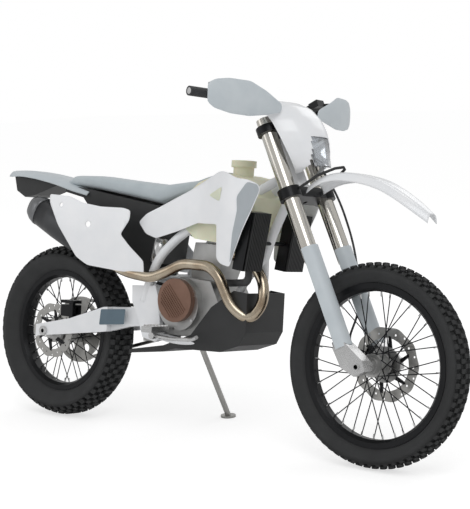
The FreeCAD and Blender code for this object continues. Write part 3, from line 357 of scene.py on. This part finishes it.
def tyre(label, body, centre, radius, half_width, rim_radius, rim_half, depth, rows):
    """A carcass with a round tread, side walls and beads, and its tread blocks on top."""
    crown = 1.25 * half_width
    sweep = np.linspace(-0.86, 0.86, 25)
    tread_r, tread_y = radius - crown + (crown - depth) * np.cos(sweep), (crown - depth) * np.sin(sweep)
    belly = 0.5 * (radius + rim_radius)
    tread = np.stack([tread_y, tread_r], axis=-1)
    left_wall = [(0.99 * half_width, belly + 16), (0.97 * half_width, belly - 4),
                 (rim_half + 6, rim_radius + 12), (rim_half + 2, rim_radius + 3),
                 (rim_half - 4, rim_radius + 1), (rim_half - 5, rim_radius - 14)]
    right_wall = [(-y, r) for y, r in reversed(left_wall)]
    profile = np.concatenate([tread, left_wall, right_wall])
    revolved(label + "_carcass", profile[::-1], centre, 120, TYRE, body, replaces=(label,),
             slot="tyre_rubber")
    points, faces = knobs(centre, radius, crown, rows, depth)
    blocks = piece(label + "_tread", points, faces, TYRE, body, smooth=False, slot="tyre_rubber")
    soft = blocks.modifiers.new("edges", "BEVEL")
    soft.width, soft.segments = 0.0012, 1
    return blocks


FRONT_CENTRE, REAR_CENTRE = (FRONT_X, FRONT_Z), (REAR_X, REAR_Z)
FRONT_RIM_R, REAR_RIM_R = 279.0, 242.0
tyre("front_tyre", "front_wheel", FRONT_CENTRE, FRONT_R, FRONT_W, FRONT_RIM_R, 25.0, 11.0, [
    (66, 0.0, -0.14, 15, 14), (66, 0.0, 0.14, 15, 14), (66, 0.5, -0.44, 17, 15), (66, 0.5, 0.44, 17, 15),
    (66, 0.0, -0.78, 20, 17), (66, 0.0, 0.78, 20, 17)])
tyre("rear_tyre", "rear_wheel", REAR_CENTRE, REAR_R, REAR_W, REAR_RIM_R, 33.0, 14.0, [
    (52, 0.0, 0.0, 17, 38), (52, 0.5, -0.32, 19, 21), (52, 0.5, 0.32, 19, 21), (52, 0.0, -0.56, 20, 18),
    (52, 0.0, 0.56, 20, 18), (52, 0.5, -0.8, 24, 20), (52, 0.5, 0.8, 24, 20)])


def nipples(label, body, centre, rim_radius, count=36):
    """Spoke nipples: six-sided tapers just inside the rim, at each spoke's end."""
    angle = np.arange(count) * 2 * math.pi / count
    side = np.where(np.arange(count) % 2 == 1, 6.0, -6.0)
    rings = []
    for radial, width in ((rim_radius - 29.0, 3.4), (rim_radius - 46.0, 2.6)):
        across, along = width * np.cos(HEX_TURN), width * np.sin(HEX_TURN)
        x = radial * np.cos(angle)[:, None] - along * np.sin(angle)[:, None]
        z = radial * np.sin(angle)[:, None] + along * np.cos(angle)[:, None]
        y = side[:, None] + across
        rings.append(np.stack([centre[0] + x, y, centre[1] + z], axis=-1))
    points = np.concatenate(rings, axis=1).reshape(-1, 3)
    faces = repeated(HEX_FACES, 12, count)
    return piece(label, points, faces, MACHINED, body, smooth=False, slot="silver_aluminium")


nipples("front_nipples", "front_wheel", FRONT_CENTRE, FRONT_RIM_R)
nipples("rear_nipples", "rear_wheel", REAR_CENTRE, REAR_RIM_R)


DISC_WAVES, WAVE_DEPTH, DISC_THICKNESS, CARRIER_THICKNESS, CARRIER_ARMS = 10, 2.5, 3.6, 5.0, 6


def wavy_disc(label, body, centre, radius, inner, at):
    """A brake disc at y = at: its edge waves in and out, with rows of drilled holes, a wide opening and a
    carrier of flat arms."""
    turn = np.linspace(0, 2 * math.pi, 180, endpoint=False)
    edge = radius - WAVE_DEPTH + WAVE_DEPTH * np.cos(DISC_WAVES * turn)
    outline = np.stack([edge * np.cos(turn), edge * np.sin(turn)], axis=-1)
    holes = [(0.0, 0.0, inner)]
    for k in range(DISC_WAVES * 2):
        a, r = k * math.pi / DISC_WAVES, radius * (0.9 if k % 2 else 0.83)
        holes.append((r * math.cos(a), r * math.sin(a), 4.0))
    verts, faces = filled(outline, 9.0, holes)
    points = np.stack([centre[0] + verts[:, 0], np.full(len(verts), at), centre[1] + verts[:, 1]], axis=-1)
    blade = piece(label + "_blade", points, faces, STEEL, body, smooth=False, replaces=(label,),
                  slot="steel")
    thicken(blade, DISC_THICKNESS)
    arms = []
    for k in range(CARRIER_ARMS):
        a = k * math.pi / 3 + 0.3
        along, across = np.array([math.cos(a), math.sin(a)]), np.array([-math.sin(a), math.cos(a)])
        for reach, half, shift in ((38.0, 9.0, -9.0), (inner + 6.0, 5.0, 12.0)):
            for sign in (-1, 1):
                arms.append(along * reach + across * (sign * half + shift))
    arms = np.array(arms)
    faces = repeated([(0, 1, 3, 2)], 4, CARRIER_ARMS)
    points = np.stack([centre[0] + arms[:, 0], np.full(len(arms), at), centre[1] + arms[:, 1]], axis=-1)
    carrier = piece(label + "_carrier", points, faces, ANODISED, body, smooth=False, slot="black_aluminium")
    thicken(carrier, CARRIER_THICKNESS)


wavy_disc("front_disc", "front_wheel", FRONT_CENTRE, 130.0, 92.0, 58.0)
wavy_disc("rear_disc", "rear_wheel", REAR_CENTRE, 110.0, 76.0, -74.0)


# ---------------------------------------------------------------- plastics
WALL = 3.0


def plan_line(points):
    """How far out a panel stands at each x: straight runs softened over 40 mm."""
    xs, ys = np.array(points, dtype=float).T

    def outward(x):
        shifts = np.linspace(-40, 40, 9)
        return np.mean([np.interp(x + s, xs, ys) for s in shifts], axis=0)

    return outward


def side_panel(name, outline, outward, crown, sign, material, replaces=(), slot="white_plastic", lift=0.0,
               holes=(), wall=WALL):
    """A moulded side panel: its outline filled, standing out by the plan line and an upright crown."""
    edge = rounded(outline)
    verts, faces = filled(edge, 14.0, holes)
    x, z = verts[:, 0], verts[:, 1]
    middle, half = 0.5 * (z.max() + z.min()), 0.5 * (z.max() - z.min())
    y = outward(x) + lift + crown * (1 - ((z - middle) / half) ** 2)
    points = np.stack([x, sign * y, z], axis=-1)
    if sign > 0:
        faces = flipped(faces)
    return thicken(piece(name, points, faces, material, "frame", replaces=replaces, slot=slot), wall, 1.0)


SHROUD_OUT = plan_line([(-330, 118), (-150, 120), (60, 138), (200, 178), (300, 190), (370, 182)])
SHROUD_EDGE = [(-257, 794), (-220, 826), (-155, 853), (1, 919), (115, 972), (152, 988), (182, 988),
               (250, 964), (300, 960), (345, 945), (355, 924), (327, 856), (290, 783), (251, 698), (230, 652),
               (183, 661),
               (160, 678), (158, 800), (98, 800), (47, 801), (-61, 766), (-169, 737), (-220, 752)]
STRIP_EDGE = [(256, 900), (300, 952), (345, 943), (353, 924), (325, 856), (288, 783), (249, 698), (236, 664),
              (244, 770), (262, 850)]
PANEL_OUT = plan_line([(-700, 200), (-500, 198), (-330, 172), (-180, 160)])
PANEL_EDGE = [(-667, 886), (-555, 880), (-485, 857), (-399, 845), (-295, 844), (-262, 836), (-262, 800),
              (-300, 745), (-256, 703), (-190, 650), (-190, 603), (-300, 606), (-453, 621), (-504, 650),
              (-605, 770), (-659, 852)]
WINDOW = [(104, 902), (176, 934), (168, 880)]
for side, sign in (("right", -1), ("left", 1)):
    side_panel(side + "_shroud_shell", SHROUD_EDGE, SHROUD_OUT, 9.0, sign, WHITE, (side + "_shroud",))
    side_panel(side + "_shroud_strip", STRIP_EDGE, SHROUD_OUT, 3.0, sign, MID_GREY, (), "grey_plastic", 7.0,
               wall=1.5)
    side_panel(side + "_shroud_window", WINDOW, SHROUD_OUT, 2.0, sign, TANK, (), "tank_plastic", 8.6,
               wall=1.0)
    side_panel(side + "_panel_shell", PANEL_EDGE, PANEL_OUT, 12.0, sign, WHITE, (side + "_side_panel",),
               holes=[(-597, 846, 8.0), (-451, 776, 11.0)])


GUARD_ROWS, GUARD_COLUMNS = 48, 25
CREASE_HEIGHT, CREASE_AT, CREASE_WIDTH = 3.0, 0.5, 0.06


def mudguard(name, line, widths, drop, body, material, replaces, slot):
    """A mudguard along a smoothed line: t runs -1 to 1 across it, its edges fall by drop * t^4, and a
    shallow crease runs along each side."""
    line = np.array(line, dtype=float)
    widths = np.array(widths, dtype=float)
    reach = np.concatenate([[0], np.cumsum(np.linalg.norm(np.diff(line, axis=0), axis=1))])
    s = np.linspace(0, reach[-1], GUARD_ROWS)
    smooth = np.linspace(-35, 35, 9)[:, None]
    clipped = np.clip(s + smooth, 0, reach[-1])
    x = np.interp(clipped, reach, line[:, 0]).mean(axis=0)[:, None]
    z = np.interp(clipped, reach, line[:, 1]).mean(axis=0)[:, None]
    wide = np.interp(clipped, reach, widths).mean(axis=0)[:, None]
    t = np.linspace(-1, 1, GUARD_COLUMNS)[None, :]
    y = wide * np.sign(t) * np.abs(t) ** 0.85
    fall = drop * t ** 4 + CREASE_HEIGHT * np.exp(-((np.abs(t) - CREASE_AT) / CREASE_WIDTH) ** 2)
    points = np.stack([x + 0 * t, y, z - fall], axis=-1).reshape(-1, 3)
    faces = grid_faces(GUARD_ROWS, GUARD_COLUMNS)
    if line[-1, 0] < line[0, 0]:
        faces = flipped(faces)
    return thicken(piece(name, points, faces, material, body, replaces=replaces, slot=slot), WALL)


FRONT_GUARD_LINE = [(444, 948), (500, 985), (569, 1000), (646, 996), (730, 980), (786, 957), (842, 925),
                    (884, 899), (936, 861)]
REAR_GUARD_LINE = [(-560, 912), (-640, 928), (-740, 954), (-860, 974), (-960, 984), (-1066, 982)]
mudguard("front_mudguard", FRONT_GUARD_LINE, [52, 60, 62, 62, 60, 58, 54, 46, 26], 30.0, "steering", WHITE,
         ("front_fender",), "white_plastic")
mudguard("rear_mudguard", REAR_GUARD_LINE, [96, 108, 106, 98, 86, 60], 26.0, "frame", PALE_GREY,
         ("rear_fender",), "grey_plastic")


def seat():
    """The seat: sections along x between a top and a bottom line, each a superellipse of power 3.3."""
    rows, columns = 60, 40
    top = [(-700, 944), (-660, 968), (-548, 968), (-390, 954), (-200, 940), (-40, 960), (40, 985), (64, 992)]
    low = [(-700, 928), (-660, 925), (-548, 914), (-390, 893), (-200, 864), (-40, 914), (40, 962), (64, 978)]
    x = np.linspace(-700, 64, rows)
    up = np.interp(x, *np.array(top, dtype=float).T)
    down = np.interp(x, *np.array(low, dtype=float).T)
    width = np.interp(x, [-700, -640, -400, -200, 0, 64], [70, 88, 90, 84, 66, 46])
    turn = np.linspace(0, 2 * math.pi, columns, endpoint=False)[None, :]
    across = np.sign(np.cos(turn)) * np.abs(np.cos(turn)) ** 0.6
    rise = np.sign(np.sin(turn)) * np.abs(np.sin(turn)) ** 0.6
    middle, half = 0.5 * (up + down)[:, None], 0.5 * (up - down)[:, None]
    points = np.stack([x[:, None] + 0 * turn, width[:, None] * across, middle + half * rise], axis=-1)
    obj = piece("seat_cushion", points.reshape(-1, 3), flipped(tube_faces(rows, columns)), SEAT, "frame",
                replaces=("seat",), slot="seat_cover")
    return obj


seat()


def silencer():
    """The silencer: a can whose section is a superellipse of power 2.6, narrow at the front, and its cap."""
    columns, power = 48, 2.6
    front, rear = np.array([-520.0, -142.0, 694.0]), np.array([-812.0, -142.0, 838.0])
    along = (rear - front) / np.linalg.norm(rear - front)
    across = np.array([0.0, 1.0, 0.0])
    rise = np.cross(along, across)
    turn = np.linspace(0, 2 * math.pi, columns, endpoint=False)[None, :]
    c, s = np.cos(turn), np.sin(turn)
    length = np.linalg.norm(rear - front)
    for name, stations, material, slot, gone in (
            ("silencer_can", [(0, 22), (14, 40), (60, 50), (160, 54), (270, 54)], CAN, "silencer_metal",
             ("silencer",)),
            ("silencer_cap", [(268, 55.5), (276, 56), (300, 52), (length - 2, 42), (length + 2, 24),
                              (length - 20, 19), (length - 40, 19)], CAP, "silencer_metal", ())):
        at, size = np.array(stations, dtype=float).T
        wide = (np.abs(c) ** power + np.abs(s) ** power) ** (-1 / power)
        ring = size[:, None, None] * wide[..., None] * (
            0.9 * c[..., None] * across + 1.02 * s[..., None] * rise)
        points = front + at[:, None, None] * along + ring
        piece(name, points.reshape(-1, 3), flipped(tube_faces(len(at), columns)), material, "frame",
              replaces=gone, slot=slot)


silencer()


def headlight_mask():
    """The mask: rows of (x, z, half width) down its face. Across, t runs -1 to 1 and the face falls back
    by sweep * |t|^3. The faces inside the lamp's opening are left out."""
    down, across, sweep, opening_half, opening_top = 40, 33, 78.0, 58, 1126
    rows = np.array([(300, 1247, 100), (340, 1243, 118), (385, 1226, 128), (425, 1190, 132),
                     (452, 1150, 128), (470, 1112, 116), (484, 1070, 96), (490, 1030, 72), (484, 1014, 60)], dtype=float)
    v = np.linspace(0, len(rows) - 1, down)
    x, z, wide = [np.interp(v, np.arange(len(rows)), rows[:, k])[:, None] for k in range(3)]
    t = np.linspace(-1, 1, across)[None, :]
    back = sweep * np.abs(t) ** 3
    points = np.stack([x - back, wide * t, z - 0.32 * back], axis=-1).reshape(-1, 3)
    inside = (np.abs(t * wide) < opening_half) & (z < opening_top)
    hidden = inside.reshape(-1)
    faces = [f for f in grid_faces(down, across) if not all(hidden[f])]
    obj = piece("headlight_shell", points, faces, WHITE, "steering", replaces=("headlight_mask",),
                slot="white_plastic")
    thicken(obj, WALL, 0.8)


headlight_mask()


def headlight():
    """The lamp: a crowned lens in the mask's opening and a bowl-shaped reflector behind it."""
    for name, depth, bulge, material, slot, gone in (
            ("headlight_lens", 0.0, 6.0, LENS, "lens", ("headlight",)),
            ("headlight_reflector", 8.0, -42.0, MIRROR, "lens", ())):
        v, t = np.meshgrid(np.linspace(-1, 1, 21), np.linspace(-1, 1, 21), indexing="ij")
        x = 474 + 16 * v - depth + bulge * (1 - v ** 2) * (1 - t ** 2) - 5 * t ** 2
        points = np.stack([x, 57 * t * (1 - 0.12 * (v + 1)), 1070 - 52 * v], axis=-1).reshape(-1, 3)
        thicken(piece(name, points, grid_faces(21, 21), material, "steering", replaces=gone, slot=slot), 2.0)


headlight()


def rod_between(name, points, radius, material, body, slot):
    """A round bar along points: rings of radius about each run's direction."""
    p = np.asarray(points, dtype=float)
    ahead = np.gradient(p, axis=0)
    ahead /= np.linalg.norm(ahead, axis=1)[:, None]
    side = np.cross(ahead, np.array([0.13, 0.27, 0.95]))
    side /= np.linalg.norm(side, axis=1)[:, None]
    other = np.cross(ahead, side)
    columns = 16
    turn = np.linspace(0, 2 * math.pi, columns, endpoint=False)[None, :, None]
    ring = p[:, None] + radius * (np.cos(turn) * side[:, None] + np.sin(turn) * other[:, None])
    return piece(name, ring.reshape(-1, 3), tube_faces(len(p), columns), material, body, slot=slot)


def hand_guard(side, sign):
    """A hand guard: its outline filled in (y, z), standing ahead by a plan line with a crowned face."""
    outline = [(110, 1200), (112, 1228), (190, 1262), (262, 1291), (350, 1292), (400, 1284), (426, 1268),
               (426, 1206), (400, 1186), (340, 1174), (262, 1172), (180, 1184)]
    verts, faces = filled(rounded(outline), 12.0)
    y, z = verts[:, 0], verts[:, 1]
    x = np.interp(y, [110, 200, 290, 380, 440], [368, 364, 346, 320, 287])
    x = x + 8 * (1 - ((z - 1232) / 60) ** 2)
    points = np.stack([x - 6, sign * y, z], axis=-1)
    if sign > 0:
        faces = flipped(faces)
    obj = piece(side + "_hand_guard", points, faces, PALE_GREY, "steering",
                replaces=("hand_guards",) if sign > 0 else (), slot="grey_plastic")
    thicken(obj, WALL, 1.0)
    start = from_steering([(0, sign * 222, 1024)])[0]
    end = np.array([352.0, sign * 216.0, 1232.0])
    rod_between(side + "_guard_arm", [start, (start + end) / 2 + np.array([8.0, 0, 6.0]), end], 5.0, BLACK,
                "steering", "black_plastic")


for side, sign in (("left", 1), ("right", -1)):
    hand_guard(side, sign)


# ---------------------------------------------------------------- engine and small parts
def bolts(name, places, axis, radius, height, material, body, slot):
    """Hexagon heads: six-sided prisms of that radius at each place, pointing along an axis."""
    axis = np.asarray(axis, dtype=float)
    side = np.cross(axis, [0.3, 0.2, 0.9])
    side /= np.linalg.norm(side)
    other = np.cross(axis, side)
    ring = radius * (np.cos(HEX_TURN)[:, None] * side + np.sin(HEX_TURN)[:, None] * other)
    head = np.concatenate([ring - axis, ring + axis * height])
    points = (np.asarray(places, dtype=float)[:, None] + head[None]).reshape(-1, 3)
    faces = repeated(HEX_FACES, 12, len(places))
    return piece(name, points, faces, material, body, smooth=False, slot=slot)


def clutch_cover():
    """Ribs across the clutch cover: ridges 3 mm high along its slanting chords, and its ring of bolts."""
    x0, z0, radius, face_y, slant = -45.0, 515.0, 66.0, -149.6, math.radians(-48)
    points = []
    lean = np.array([math.cos(slant), math.sin(slant)])
    across = np.array([-lean[1], lean[0]])
    for shift in np.arange(-54, 20, 9.0):
        reach = math.sqrt(radius ** 2 - shift ** 2)
        for u, w, h in ((-reach, -2.2, 0), (reach, -2.2, 0), (reach, 2.2, 0), (-reach, 2.2, 0),
                        (-reach + 3, -1.0, 3), (reach - 3, -1.0, 3), (reach - 3, 1.0, 3),
                        (-reach + 3, 1.0, 3)):
            spot = lean * u + across * (shift + w)
            points.append((x0 + spot[0], face_y - h, z0 + spot[1]))
    blocks("clutch_cover_ribs", points, BRONZE, "bronze_cover")
    turn = HEX_TURN + 0.4
    places = np.stack([x0 + 90 * np.cos(turn), np.full(6, -128.0), 500 + 90 * np.sin(turn)], axis=-1)
    bolts("clutch_cover_bolts", places, (0, -1, 0), 5.5, 5.0, MACHINED, "frame", "silver_aluminium")


clutch_cover()


def louvres():
    """Radiator louvres: upright slats 8 mm deep in front of each radiator core, 9 mm apart."""
    section = ((0, -2.4), (0, 2.4), (8, 4.4), (8, -0.4))
    foot, top = (285.5, 640.0), (318.5, 846.0)
    points = [(x + dx, sign * (y + dy), z)
              for sign in (-1, 1) for y in np.arange(78, 174, 9.0) for x, z in (foot, top)
              for dx, dy in section]
    blocks("radiator_louvres", points, BLACK, "black_plastic")


louvres()


def swingarm_film():
    """Slate-blue film on each arm's outer face."""
    edge = rounded([(-440, 392), (-310, 404), (-306, 462), (-434, 452)], 5.0)
    verts, faces = filled(edge, 20.0)
    for side, y in (("right", -126.4), ("left", 126.4)):
        points = np.stack([verts[:, 0], np.full(len(verts), y), verts[:, 1]], axis=-1)
        film = piece(side + "_arm_film", points, faces, SLATE, "frame", smooth=False, slot="grey_plastic")
        thicken(film, 0.6)


swingarm_film()


def ribbed_pegs():
    """Serrated footpeg edges: rows of small tapered teeth along both long edges of each peg."""
    tooth = ((-2, -3, 417), (2, -3, 417), (2, 3, 417), (-2, 3, 417),
             (-1, -1, 424), (1, -1, 424), (1, 1, 424), (-1, 1, 424))
    points = [(x + dx, sign * (y + dy), z)
              for sign in (-1, 1) for x in (-108.0, -66.0) for y in np.arange(156, 244, 8.0)
              for dx, dy, z in tooth]
    blocks("footpeg_teeth", points, MACHINED, "silver_aluminium")


def reservoir():
    """The shock's reservoir beside it and the coils round its body: a helix of seven turns."""
    rod_between("shock_reservoir", [(-196, -86, 646), (-186, -86, 690), (-176, -86, 736)], 25.0, MACHINED,
                "frame", "silver_aluminium")
    turn = np.linspace(0, 14 * math.pi, 240)
    base, along = np.array([-262.0, 0.0, 458.0]), np.array([52.0, 0.0, 152.0])
    unit = along / np.linalg.norm(along)
    across, side = np.array([0.0, 1.0, 0.0]), np.cross(unit, [0.0, 1.0, 0.0])
    spring = base + (turn / turn[-1])[:, None] * along + 37.0 * (
        np.cos(turn)[:, None] * across + np.sin(turn)[:, None] * side)
    rod_between("shock_spring", spring, 5.5, POWDER, "frame", "white_frame")


ribbed_pegs()
reservoir()


def fork_caps():
    """Red adjusters on the fork caps: short six-sided heads along the steering axis."""
    rake_axis = np.array([-math.sin(RAKE), 0.0, math.cos(RAKE)])
    places = from_steering([(16, 102, 941), (16, -102, 941)])
    bolts("fork_adjusters", places, rake_axis, 9.0, 6.0, RED, "steering", "silver_aluminium")


fork_caps()


def strap():
    """The black strap from the lower clamp over the mudguard: a round band in two halves."""
    half = np.array([(398, 112, 905), (440, 88, 935), (500, 60, 985), (552, 30, 1012), (566, 0, 1018)],
                    dtype=float)
    for side, sign in (("left", 1), ("right", -1)):
        line = half * (1, sign, 1)
        rod_between(side + "_strap", line, 5.0, BLACK, "steering", "black_plastic")


strap()


# ---------------------------------------------------------------- stage
# How bright the floor glows to the camera, and how much of what the camera sees of it is that glow.
FLOOR_GLOW, GLOW_SHARE = 1.5, 0.42
# Brightness of the surround as light, and as the camera sees it.
SURROUND_LIGHT, SURROUND_SEEN = 0.62, 1.0
# Soft lamps: name, place in m, power in W, side in m.
LAMPS = [("key", (3.0, -3.0, 5.0), 70.0, 3.0), ("fill", (-4.0, -4.0, 3.0), 25.0, 3.0),
         ("rim", (0.0, 5.0, 4.0), 35.0, 3.0)]
LAMPS_AIM = (0, 0, 0.5)


def stage():
    """A pale floor, a white surround and three soft lamps."""
    floor = bpy.data.meshes.new("floor")
    floor.from_pydata([(-30, -30, 0), (30, -30, 0), (30, 30, 0), (-30, 30, 0)], [], [(0, 1, 2, 3)])
    ground = bpy.data.objects.new("floor", floor)
    bpy.context.scene.collection.objects.link(ground)
    paper = bpy.data.materials.new("white_paper")
    paper.use_nodes = True
    sheet = paper.node_tree
    sheet.nodes.clear()
    seen = add(sheet, "ShaderNodeLightPath").outputs["Is Camera Ray"]
    matt = add(sheet, "ShaderNodeBsdfDiffuse", Color=colour("FFFFFF"))
    lit = add(sheet, "ShaderNodeEmission", Color=colour("FFFFFF"), Strength=FLOOR_GLOW)
    amount = add(sheet, "ShaderNodeMath", [(seen, 0)], operation="MULTIPLY")
    amount.inputs[1].default_value = GLOW_SHARE
    both = add(sheet, "ShaderNodeMixShader", [(amount.outputs[0], "Fac")])
    sheet.links.new(matt.outputs[0], both.inputs[1])
    sheet.links.new(lit.outputs[0], both.inputs[2])
    add(sheet, "ShaderNodeOutputMaterial", [(both.outputs[0], "Surface")])
    floor.materials.append(paper)

    world = bpy.data.worlds.new("studio")
    bpy.context.scene.world = world
    world.use_nodes = True
    tree = world.node_tree
    tree.nodes.clear()
    rays = add(tree, "ShaderNodeLightPath")
    soft = add(tree, "ShaderNodeBackground", Color=colour("FFFFFF"), Strength=SURROUND_LIGHT)
    bright = add(tree, "ShaderNodeBackground", Color=colour("FFFFFF"), Strength=SURROUND_SEEN)
    mix = add(tree, "ShaderNodeMixShader", [(rays.outputs["Is Camera Ray"], "Fac")])
    tree.links.new(soft.outputs[0], mix.inputs[1])
    tree.links.new(bright.outputs[0], mix.inputs[2])
    add(tree, "ShaderNodeOutputWorld", [(mix.outputs[0], "Surface")])

    for name, place, energy, size in LAMPS:
        light = bpy.data.lights.new(name, "AREA")
        light.energy, light.size = energy, size
        lamp = bpy.data.objects.new(name, light)
        lamp.location = place
        lamp.rotation_euler = (Vector(LAMPS_AIM) - Vector(place)).to_track_quat("-Z", "Y").to_euler()
        bpy.context.scene.collection.objects.link(lamp)


# The camera's place in upright mm, its turns in degrees on the upright machine, and its lens in mm.
CAMERA_AT = (3181.8, -3881.1, 787.0)
CAMERA_YAW, CAMERA_PITCH, CAMERA_ROLL = 38.37, 1.09, 2.92
CAMERA_LENS, CAMERA_SENSOR = 95.51033, 36.0


def camera():
    """A long lens ahead of the machine and to its right, level with the side panels."""
    eye = to_row(CAMERA_AT)
    yaw, pitch, roll = (math.radians(a) for a in (CAMERA_YAW, CAMERA_PITCH, CAMERA_ROLL))
    ahead = np.array([-math.sin(yaw) * math.cos(pitch), math.cos(yaw) * math.cos(pitch), -math.sin(pitch)])
    right = np.cross(ahead, [0, 0, 1])
    right /= np.linalg.norm(right)
    up = np.cross(right, ahead)
    c, s = math.cos(roll), math.sin(roll)
    right, up = c * right + s * up, c * up - s * right
    turned = np.stack([right, up, -ahead]) @ BASIS
    data = bpy.data.cameras.new("camera")
    data.sensor_fit, data.sensor_width, data.lens = "AUTO", CAMERA_SENSOR, CAMERA_LENS
    data.clip_end = 100.0
    obj = bpy.data.objects.new("camera", data)
    obj.matrix_world = Matrix.Translation(Vector(eye)) @ Matrix(turned.T.tolist()).to_4x4()
    bpy.context.scene.collection.objects.link(obj)
    bpy.context.scene.camera = obj


stage()
camera()
bpy.context.scene.view_settings.view_transform = "Standard"
